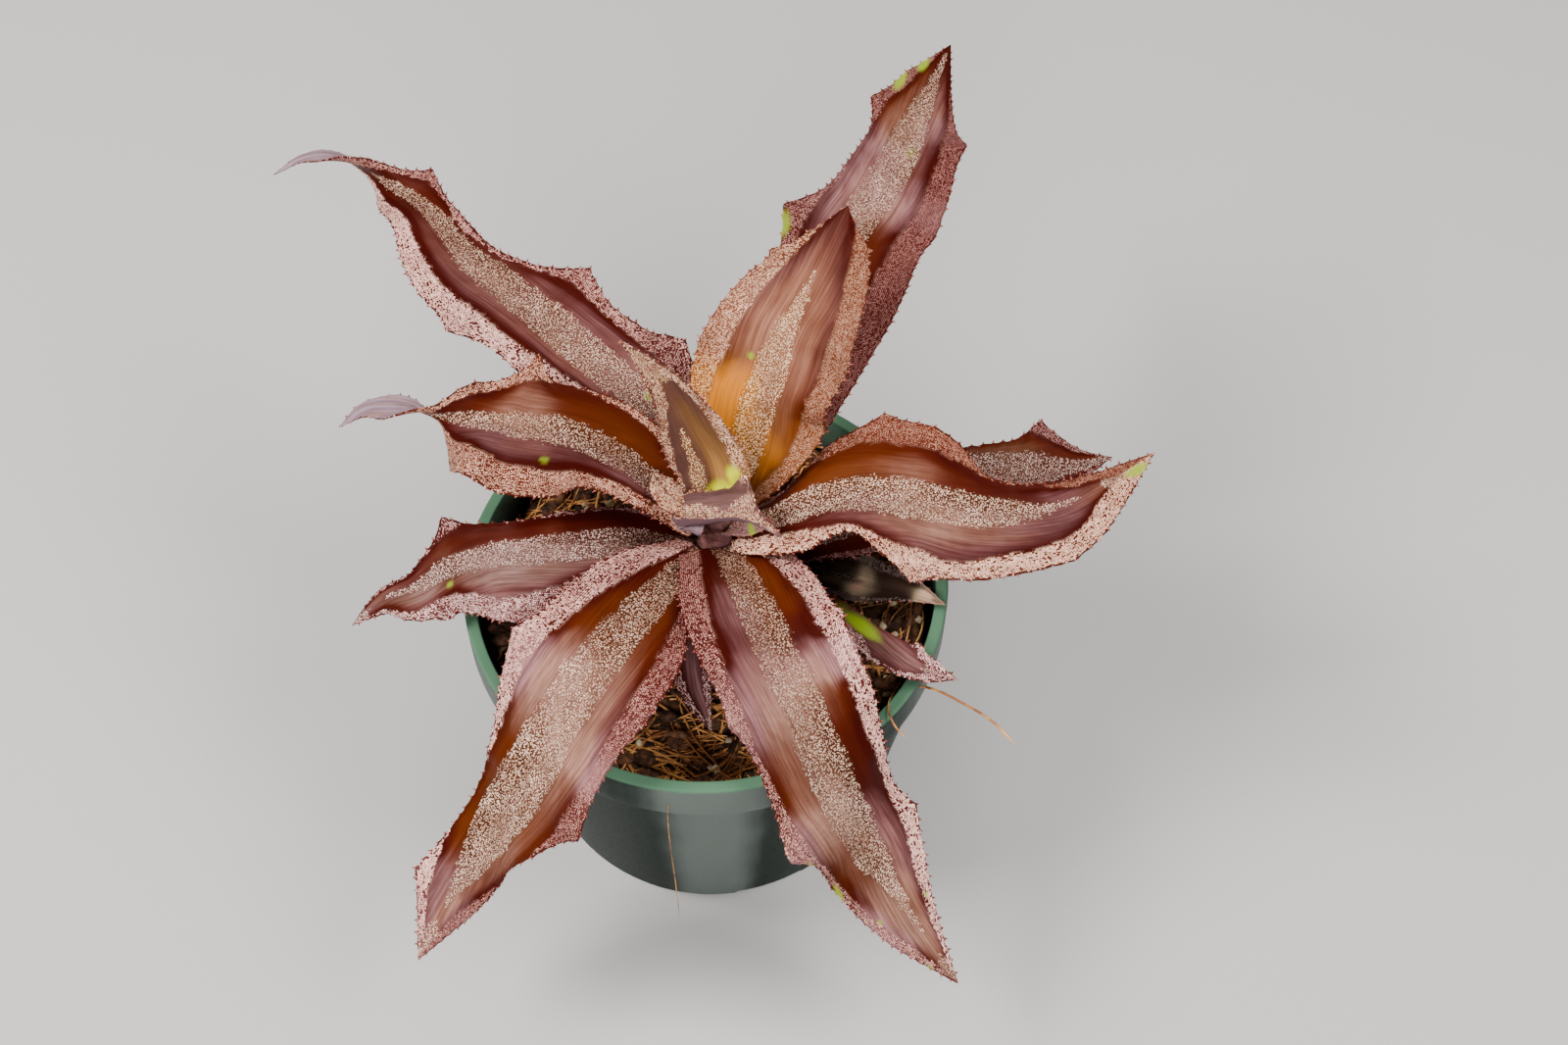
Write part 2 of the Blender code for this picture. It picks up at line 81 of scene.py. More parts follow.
def waves(x, y, size, seed, octaves=3):
    # gentle waves from -1 to 1: sines in seeded directions, each octave half as long and half as high
    rng = np.random.default_rng(seed)
    total = np.zeros(np.broadcast(x, y).shape)
    weight = 0.0
    for octave in range(octaves):
        for turn in rng.uniform(0, 2 * math.pi, 3):
            phase, stretch = rng.uniform(0, 2 * math.pi), rng.uniform(0.8, 1.25)
            step = 2 * math.pi * 2**octave * stretch / size
            total = total + np.sin(step * (x * math.cos(turn) + y * math.sin(turn)) + phase) / 2**octave
        weight += 3 / 2**octave
    return total / weight * 1.6


def makeMesh(name, points, faces, materials, kinds=None, maps=None, values=None):
    # one mesh from arrays in millimetres: points, faces as corner numbers, maps and values for each point
    mesh = bpy.data.meshes.new(name)
    mesh.from_pydata(np.asarray(points).reshape(-1, 3) * mm, [], faces)
    for material in materials:
        mesh.materials.append(material)
    if kinds is not None:
        mesh.polygons.foreach_set("material_index", np.asarray(kinds, np.int32))
    mesh.polygons.foreach_set("use_smooth", np.ones(len(mesh.polygons), bool))
    corners = np.empty(len(mesh.loops), np.int32)
    mesh.loops.foreach_get("vertex_index", corners)
    for key, value in (maps or {}).items():
        layer = mesh.uv_layers.new(name=key)
        layer.data.foreach_set("uv", value.reshape(-1, 2)[corners].astype(np.float32).ravel())
    for key, value in (values or {}).items():
        layer = mesh.attributes.new(key, "FLOAT", "POINT")
        layer.data.foreach_set("value", np.asarray(value, np.float32).ravel())
    mesh.update()
    piece = bpy.data.objects.new(name, mesh)
    scene.collection.objects.link(piece)
    return piece


def gridFaces(rows, columns, start=0, wrap=False):
    # the quads of a grid of points, rows by columns; wrap joins the last column to the first
    i, j = np.meshgrid(np.arange(rows - 1), np.arange(columns if wrap else columns - 1), indexing="ij")
    after = (j + 1) % columns
    quads = [i * columns + j, (i + 1) * columns + j, (i + 1) * columns + after, i * columns + after]
    return np.stack(quads, -1).reshape(-1, 4) + start


def feed(tree, socket, value):
    # a number or a colour is set on the socket, anything else is linked to it
    if isinstance(value, (int, float)):
        socket.default_value = value
    elif isinstance(value, tuple):
        socket.default_value = (*value, 1.0)
    elif value is not None:
        tree.links.new(value, socket)


def addNode(tree, kind, **settings):
    # a node of this kind with its settings
    node = tree.nodes.new(kind)
    for key, value in settings.items():
        setattr(node, key, value)
    return node


def mathNode(tree, operation, *values):
    # the operation on up to three values
    node = addNode(tree, "ShaderNodeMath", operation=operation)
    for socket, value in zip(node.inputs, values):
        feed(tree, socket, value)
    return node.outputs[0]


def mixColour(tree, factor, first, second):
    # first x (1 - factor) + second x factor, for colours
    node = addNode(tree, "ShaderNodeMix", data_type="RGBA")
    for socket, value in zip((node.inputs[0], node.inputs[6], node.inputs[7]), (factor, first, second)):
        feed(tree, socket, value)
    return node.outputs[2]


def mixValue(tree, factor, first, second):
    # the same for numbers
    node = addNode(tree, "ShaderNodeMix", data_type="FLOAT")
    for socket, value in zip((node.inputs[0], node.inputs[2], node.inputs[3]), (factor, first, second)):
        feed(tree, socket, value)
    return node.outputs[0]


def mapRange(tree, value, low, high, newLow=0.0, newHigh=1.0):
    # newLow at low, newHigh at high, and an S-shaped change between them
    node = addNode(tree, "ShaderNodeMapRange", interpolation_type="SMOOTHSTEP")
    for name, number in (("Value", value), ("From Min", low), ("From Max", high), ("To Min", newLow),
                         ("To Max", newHigh)):
        feed(tree, node.inputs[name], number)
    return node.outputs["Result"]


def colourRamp(tree, value, stops):
    # each colour at its place from 0 to 1, with straight blends between neighbours
    node = addNode(tree, "ShaderNodeValToRGB")
    while len(node.color_ramp.elements) < len(stops):
        node.color_ramp.elements.new(0.5)
    for element, (place, colour) in zip(node.color_ramp.elements, stops):
        element.position = place
        element.color = (*colour, 1.0)
    feed(tree, node.inputs["Fac"], value)
    return node.outputs["Color"]


def brighter(tree, colour, factor):
    # colour x factor
    node = addNode(tree, "ShaderNodeVectorMath", operation="SCALE")
    feed(tree, node.inputs[0], colour)
    feed(tree, node.inputs["Scale"], factor)
    return node.outputs["Vector"]


def noiseNode(tree, vector, scale, detail=3.0, roughness=0.55):
    # soft noise round 0.5, with scale humps to a unit of the vector
    node = addNode(tree, "ShaderNodeTexNoise")
    for name, value in (("Vector", vector), ("Scale", scale), ("Detail", detail), ("Roughness", roughness)):
        feed(tree, node.inputs[name], value)
    return node.outputs["Fac"]


def stretched(tree, vector, scale):
    # the vector x scale, axis by axis
    node = addNode(tree, "ShaderNodeVectorMath", operation="MULTIPLY")
    feed(tree, node.inputs[0], vector)
    node.inputs[1].default_value = scale
    return node.outputs["Vector"]


def newGroup(name, inputs, outputs):
    # an empty shader group: its inputs are (label, kind, start value), and its outputs are numbers
    tree = bpy.data.node_groups.new(name, "ShaderNodeTree")
    for label, kind, value in inputs:
        socket = tree.interface.new_socket(label, in_out="INPUT", socket_type="NodeSocket" + kind)
        if value is not None:
            socket.default_value = value
    for label in outputs:
        tree.interface.new_socket(label, in_out="OUTPUT", socket_type="NodeSocketFloat")
    return tree, tree.nodes.new("NodeGroupInput").outputs, tree.nodes.new("NodeGroupOutput").inputs


def placeGroup(tree, group, **values):
    # a node that uses the group, with its inputs fed by name
    node = addNode(tree, "ShaderNodeGroup", node_tree=group)
    for name, value in values.items():
        feed(tree, node.inputs[name], value)
    return node.outputs


# how far grains stray from an even spacing, the radius of the smallest in cells, how much larger the
# largest is, and where a grain's edge starts and ends as a share of its radius
grainShape = dict(strewn=(0.85, 0.20), ruled=(0.40, 0.23), more=0.28, edge=(1.18, 0.68), thinner=0.08)


def grainGroup():
    # grains of pale scale, one to each cell of the map: strewn in the middle of a leaf and ruled in
    # rows along its margins, each row shifted by its own random number. A grain is left out where its
    # own random number is over the density
    tree, take, give = newGroup("scaleGrains", [
        ("Vector", "Vector", None), ("Density", "Float", 1.0), ("Lines", "Float", 0.0),
        ("Swell", "Float", 0.0)], ["Mask", "Shade"])
    split = addNode(tree, "ShaderNodeSeparateXYZ")
    feed(tree, split.inputs[0], take["Vector"])
    shift = addNode(tree, "ShaderNodeTexWhiteNoise", noise_dimensions="1D")
    feed(tree, shift.inputs["W"], mathNode(tree, "ROUND", split.outputs[1]))
    rows = addNode(tree, "ShaderNodeCombineXYZ")
    feed(tree, rows.inputs[0], mathNode(tree, "ADD", split.outputs[0], shift.outputs["Value"]))
    feed(tree, rows.inputs[1], split.outputs[1])
    # along the margins every second row is thinner
    second = mathNode(tree, "SINE", mathNode(tree, "MULTIPLY", split.outputs[1], math.pi))
    ruled = mathNode(tree, "MULTIPLY_ADD", second, grainShape["thinner"], 0.93)
    ruled = mathNode(tree, "MULTIPLY", take["Density"], ruled)
    found = []
    for place, density, kind in ((take["Vector"], take["Density"], "strewn"),
                                 (rows.outputs[0], ruled, "ruled")):
        spread, least = grainShape[kind]
        cells = addNode(tree, "ShaderNodeTexVoronoi", voronoi_dimensions="2D")
        cells.inputs["Scale"].default_value = 1.0
        cells.inputs["Randomness"].default_value = spread
        feed(tree, cells.inputs["Vector"], place)
        split = addNode(tree, "ShaderNodeSeparateColor")
        feed(tree, split.inputs[0], cells.outputs["Color"])
        over = mathNode(tree, "MULTIPLY_ADD", density, 1.12, -0.06)
        keep = mapRange(tree, mathNode(tree, "SUBTRACT", over, split.outputs[0]), -0.01, 0.05)
        size = mathNode(tree, "MULTIPLY_ADD", split.outputs[1], grainShape["more"], least)
        size = mathNode(tree, "ADD", size, take["Swell"])
        dome = mapRange(tree, mathNode(tree, "DIVIDE", cells.outputs["Distance"], size), *grainShape["edge"])
        found.append((mathNode(tree, "MULTIPLY", dome, keep), split.outputs[2]))
    for number, name in enumerate(("Mask", "Shade")):
        feed(tree, give[name], mixValue(tree, take["Lines"], found[0][number], found[1][number]))
    return tree


def veinGroup():
    # fine veins along the leaf: noise on the map of millimetres, drawn out along and squeezed across
    tree, take, give = newGroup("leafVeins", [("Vector", "Vector", None)], ["Fine", "Broad"])
    fine, broad = (stretched(tree, take["Vector"], scale) for scale in ((0.06, 1.7, 1.0), (0.035, 0.55, 1.0)))
    feed(tree, give["Fine"], noiseNode(tree, fine, 1.0, 3.0, 0.7))
    feed(tree, give["Broad"], noiseNode(tree, broad, 1.0))
    return tree


def earthGroup():
    # crumbs and patches for soil, bark and fibres: two noises in Object coordinates, one coarser
    tree, take, give = newGroup("earthGrain", [("Vector", "Vector", None), ("Scale", "Float", 900.0)],
                                ["Grain", "Patch"])
    feed(tree, give["Grain"], noiseNode(tree, take["Vector"], take["Scale"], 4.0))
    patchScale = mathNode(tree, "MULTIPLY", take["Scale"], 0.2)
    feed(tree, give["Patch"], noiseNode(tree, take["Vector"], patchScale, 3.0))
    return tree


def newMaterial(name, roughness, specular=0.5):
    # a Principled material with this roughness and specular level
    material = bpy.data.materials.new(name)
    material.use_nodes = True
    shader = material.node_tree.nodes["Principled BSDF"]
    shader.inputs["Roughness"].default_value = roughness
    shader.inputs["Specular IOR Level"].default_value = specular
    return material, material.node_tree, shader.inputs


def objectPlace(tree):
    # Object coordinates, in metres
    return addNode(tree, "ShaderNodeTexCoord").outputs["Object"]


def attribute(tree, name):
    # a value that the piece stores at each point
    return addNode(tree, "ShaderNodeAttribute", attribute_name=name).outputs["Fac"]


def addBump(tree, inputs, height, strength, distance):
    # height as relief of this depth in metres, in the Normal
    bump = addNode(tree, "ShaderNodeBump")
    for name, value in (("Strength", strength), ("Distance", distance), ("Height", height)):
        feed(tree, bump.inputs[name], value)
    feed(tree, inputs["Normal"], bump.outputs["Normal"])


# bare colours from dark to gold, the two painted sheens (cool and warm painted highlights) over them, fresh
# green, the ground between the grains and the grains themselves, each with its own on the margins, and the
# underside. A relief is in metres
bandedLook = dict(
    maroon=(0.036, 0.002, 0.001), mahogany=(0.058, 0.006, 0.001), amber=(0.084, 0.014, 0.001),
    bronze=(0.145, 0.04, 0.005), gold=(0.54, 0.17, 0.007), shine=(0.335, 0.168, 0.124),
    paintedShineCool=(0.305, 0.142, 0.146), lime=(0.3, 0.43, 0.02), ground=(0.058, 0.022, 0.01),
    rimGround=(0.116, 0.024, 0.011), grain=(0.62, 0.289, 0.189), grainPale=(0.98, 0.725, 0.559),
    grainRosy=(0.857, 0.368, 0.246), rimPale=(0.98, 0.575, 0.415), grainWarm=(0.95, 0.48, 0.14),
    underGround=(0.16, 0.083, 0.108), underGrain=(0.298, 0.209, 0.248), tint=(1, 0.5, 0.4), roughness=0.42,
    specular=0.09, relief=0.00016, underRoughness=0.62, underSpecular=0.35, underRelief=0.00012)
rosyLook = dict(
    bandedLook, rimGround=(0.075, 0.012, 0.01), grainRosy=(0.796, 0.322, 0.273), rimPale=(0.98, 0.565, 0.475))
goldenLook = dict(
    bandedLook, shine=(0.32, 0.14, 0.092), paintedShineCool=(0.275, 0.125, 0.105), ground=(0.15, 0.052, 0.013),
    rimGround=(0.152, 0.038, 0.014), grain=(0.677, 0.34, 0.18), grainPale=(0.98, 0.707, 0.482),
    grainRosy=(0.836, 0.405, 0.246), rimPale=(0.98, 0.621, 0.442))
# painted cool light: a darker, cooler copy of the banded look for the leaves low on the plant, where the
# light is dimmer and cooler
lowCoolLightLook = dict(
    bandedLook, amber=(0.085, 0.028, 0.008), bronze=(0.13, 0.06, 0.024), shine=(0.29, 0.165, 0.15),
    rimGround=(0.075, 0.012, 0.01), grain=(0.526, 0.272, 0.221), grainPale=(0.92, 0.688, 0.619),
    grainRosy=(0.694, 0.322, 0.29), rimPale=(0.95, 0.63, 0.586))
youngLook = dict(
    bandedLook, maroon=(0.075, 0.032, 0.026), mahogany=(0.096, 0.039, 0.027), amber=(0.135, 0.061, 0.025),
    bronze=(0.235, 0.108, 0.038), gold=(0.43, 0.205, 0.055), shine=(0.145, 0.074, 0.07),
    paintedShineCool=(0.13, 0.064, 0.07), lime=(0.82, 0.88, 0.001), ground=(0.17, 0.06, 0.022),
    rimGround=(0.16, 0.043, 0.024), grain=(0.827, 0.425, 0.205), grainPale=(0.98, 0.725, 0.43),
    grainRosy=(0.836, 0.423, 0.264), rimPale=(0.98, 0.684, 0.468), underGrain=(0.17, 0.11, 0.13),
    tint=(1, 0.6, 0.05))
# a dried leaf's colours, darkened as well to paint the shade the old leaf lies in
dryShadedLook = dict(
    bandedLook, maroon=(0.014, 0.007, 0.005), mahogany=(0.024, 0.014, 0.01), amber=(0.07, 0.05, 0.032),
    bronze=(0.2, 0.15, 0.1), gold=(0.48, 0.3, 0.2), ground=(0.02, 0.012, 0.009),
    rimGround=(0.022, 0.012, 0.009), grain=(0.14, 0.1, 0.085), grainPale=(0.3, 0.23, 0.2),
    grainRosy=(0.18, 0.12, 0.11), rimPale=(0.3, 0.22, 0.2), grainWarm=(0.3, 0.2, 0.13),
    underGround=(0.055, 0.04, 0.034), underGrain=(0.15, 0.12, 0.115), roughness=0.66)
toothLook = dict(root=(0.200, 0.020, 0.012), tip=(0.480, 0.130, 0.090), roughness=0.5)
# how the layers mix. The first two are the spread of the vein noises; each swing is what they do to a
# layer, from least to most. warmTone is where the painted sheen turns from cool to warm and goldTone where
# the grains take the warm colour. Grains swell and pale with the painted light: above swellFrom, and by the
# first of the paleness pair x the painted light + the second. The shares say how far one layer covers the
# next, the painted sheen's among them
leafMix = dict(fine=(0.3, 0.7), broad=(0.35, 0.65), toneSwing=0.12, paintedSheenSwing=(0.66, 1.22),
               bareSwing=(0.82, 1.18), grainSwing=(0.85, 1.12), warmTone=(0.08, 0.40), goldTone=(0.5, 1.1),
               swellFrom=0.95, swell=0.28, paintedLightPale=(0.9, -0.78), frostShade=0.9, mostPaintedLight=1.05,
               paintedSheenShare=0.6, groundShare=0.75, goldShare=0.6, limeShare=0.9, grainShare=0.95,
               grainRough=0.3, veinRough=0.10, veinRelief=0.35, relief=0.6,
               underFine=(0.36, 0.56), underBroad=(0.42, 0.7), underShare=0.5, underRelief=0.4)


def leafUpper(name, look):
    # glossy bands coloured by tone, paler where the painted sheen value says, with grains of pale scale over
    # them where the scale value says, brightened and paled by the painted light value; veins show in colour,
    # gloss and relief
    material, tree, inputs = newMaterial(name, look["roughness"], look["specular"])
    feed(tree, inputs["Specular Tint"], look["tint"])
    flat = addNode(tree, "ShaderNodeUVMap", uv_map="flatMap").outputs["UV"]
    cells = addNode(tree, "ShaderNodeUVMap", uv_map="grainMap").outputs["UV"]
    veins = placeGroup(tree, veinLines, Vector=flat)
    lines, fresh, density = (attribute(tree, key) for key in ("lines", "fresh", "scale"))
    tone = mathNode(tree, "MULTIPLY_ADD", veins["Broad"], leafMix["toneSwing"], -leafMix["toneSwing"] / 2)
    tone = mathNode(tree, "ADD", attribute(tree, "tone"), tone)
    band = colourRamp(tree, tone, [(0.0, look["maroon"]), (0.25, look["mahogany"]), (0.5, look["amber"]),
                                   (0.75, look["bronze"]), (1.0, look["gold"])])
    # painted sheen: streaked patches of a pale sheen colour, cool over dark tones and warm over amber ones,
    # over the bands and the ground
    streaked = mapRange(tree, veins["Fine"], *leafMix["fine"], *leafMix["paintedSheenSwing"])
    shine = mathNode(tree, "MULTIPLY", attribute(tree, "shine"), streaked)
    paintedSheen = mixColour(tree, mapRange(tree, tone, *leafMix["warmTone"]), look["paintedShineCool"], look["shine"])
    band = mixColour(tree, shine, band, paintedSheen)
    band = brighter(tree, band, mapRange(tree, veins["Fine"], *leafMix["fine"], *leafMix["bareSwing"]))
    ground = mixColour(tree, lines, look["ground"], look["rimGround"])
    ground = mixColour(tree, mathNode(tree, "MULTIPLY", shine, leafMix["paintedSheenShare"]), ground, paintedSheen)
    bare = mixColour(tree, mathNode(tree, "MULTIPLY", density, leafMix["groundShare"]), band, ground)
    bare = mixColour(tree, fresh, bare, look["lime"])
    # where the painted light on the grains is brightest they are larger too
    lit = attribute(tree, "lit")
    swell = mathNode(tree, "MAXIMUM", mathNode(tree, "SUBTRACT", lit, leafMix["swellFrom"]), 0.0)
    swell = mathNode(tree, "MULTIPLY", swell, leafMix["swell"])
    grain = placeGroup(tree, grainCells, Vector=cells, Density=density, Lines=lines, Swell=swell)
    deep = mixColour(tree, lines, look["grain"], look["grainRosy"])
    # painted light and shade: the grains go from deep to pale with the painted light value, and with their
    # own random shade
    paintedLightPale = mathNode(tree, "MULTIPLY_ADD", lit, *leafMix["paintedLightPale"])
    paintedLightPale = mathNode(tree, "MULTIPLY_ADD", grain["Shade"], leafMix["frostShade"], paintedLightPale)
    pale = mixColour(tree, paintedLightPale, deep, mixColour(tree, lines, look["grainPale"], look["rimPale"]))
    golden = mapRange(tree, tone, *leafMix["goldTone"], 0.0, leafMix["goldShare"])
    pale = mixColour(tree, golden, pale, look["grainWarm"])
    patches = mapRange(tree, veins["Broad"], *leafMix["broad"], *leafMix["grainSwing"])
    # painted light and shade: the grains' brightness follows the painted light value, capped, times broad
    # patches
    paintedLightLevel = mathNode(tree, "MULTIPLY", mathNode(tree, "MINIMUM", lit, leafMix["mostPaintedLight"]), patches)
    pale = brighter(tree, pale, paintedLightLevel)
    pale = mixColour(tree, mathNode(tree, "MULTIPLY", fresh, leafMix["limeShare"]), pale, look["lime"])
    colour = mixColour(tree, mathNode(tree, "MULTIPLY", grain["Mask"], leafMix["grainShare"]), bare, pale)
    feed(tree, inputs["Base Color"], colour)
    rough = mathNode(tree, "MULTIPLY_ADD", grain["Mask"], leafMix["grainRough"], look["roughness"])
    rough = mathNode(tree, "MULTIPLY_ADD", veins["Fine"], leafMix["veinRough"], rough)
    feed(tree, inputs["Roughness"], rough)
    height = mathNode(tree, "MULTIPLY_ADD", veins["Fine"], leafMix["veinRelief"], grain["Mask"])
    addBump(tree, inputs, height, leafMix["relief"], look["relief"])
    return material


def leafUnder(name, look):
    # the pale underside: whitish scale in fine lines along the leaf with mauve between them, and broad
    # patches of painted sheen
    material, tree, inputs = newMaterial(name, look["underRoughness"], look["underSpecular"])
    flat = addNode(tree, "ShaderNodeUVMap", uv_map="flatMap").outputs["UV"]
    veins = placeGroup(tree, veinLines, Vector=flat)
    mask = mapRange(tree, veins["Fine"], *leafMix["underFine"])
    colour = mixColour(tree, mask, look["underGround"], look["underGrain"])
    paintedSheen = mapRange(tree, veins["Broad"], *leafMix["underBroad"], 0.0, leafMix["underShare"])
    feed(tree, inputs["Base Color"], mixColour(tree, paintedSheen, colour, look["shine"]))
    addBump(tree, inputs, mask, leafMix["underRelief"], look["underRelief"])
    return material


def toothMaterial(look):
    # spines redden and pale by turns, with noise in Object coordinates
    material, tree, inputs = newMaterial("marginSpines", look["roughness"])
    mask = mapRange(tree, noiseNode(tree, objectPlace(tree), 500.0), 0.4, 0.6)
    feed(tree, inputs["Base Color"], mixColour(tree, mask, look["root"], look["tip"]))
    return material


grainCells, veinLines, earthGrain = grainGroup(), veinGroup(), earthGroup()
leafLooks = dict(banded=bandedLook, rosy=rosyLook, golden=goldenLook, low=lowCoolLightLook, young=youngLook,
                 dry=dryShadedLook)
leafFinishes = {kind: (leafUpper(kind + "Upper", look), leafUnder(kind + "Under", look))
                for kind, look in leafLooks.items()}
spineFinish = toothMaterial(toothLook)
print("leaf finishes made")

stemShape = dict(at=(3, 6), foot=55, top=100, soil=72.5, footRadius=7, topRadius=3.5)
leafBuild = dict(row=0.5, columns=48, thick=0.95, thin=0.42, gap=0.35, spineStep=2.6, spine=0.85,
                 scallop=0.26, frill=0.34, ripple=0.16)
# Each leaf's lists run in equal steps from its base to its tip. left and right are half widths, seen
# from above with the base behind, and height is where the leaf leaves the stem; a cusp is (where, how
# far out, reach). The signed lists, left positive, give the outer edges of the two bare bands and the
# edges of the scaly stripe between them. high and low colour the left and the right band, as (where,
# tone, sheen): tone runs from 0, maroon, through 0.5, amber, to 1, gold, and the third, a painted sheen,
# pales it.
# The margin and along-leaf brightness values paint light and shade on the grains: how bright they are, on the
# left and the right margin and along the leaf. A spot of
# fresh green is (where, millimetres to the left, half length, half width, strength). pitch is the
# grains' spacing at the base and at the tip, and beyond tipFrom all is scaly.
leafBasics = dict(liftLeft=(0, 0), liftRight=(0, 0), roll=(0, 0), facing=(0, 0, 1), cuspsLeft=[],
                  cuspsRight=[], stripeHigh=(0, 0), stripeLow=(0, 0), paintedRimLight=(1, 1), spots=[], tipFrom=1.1)
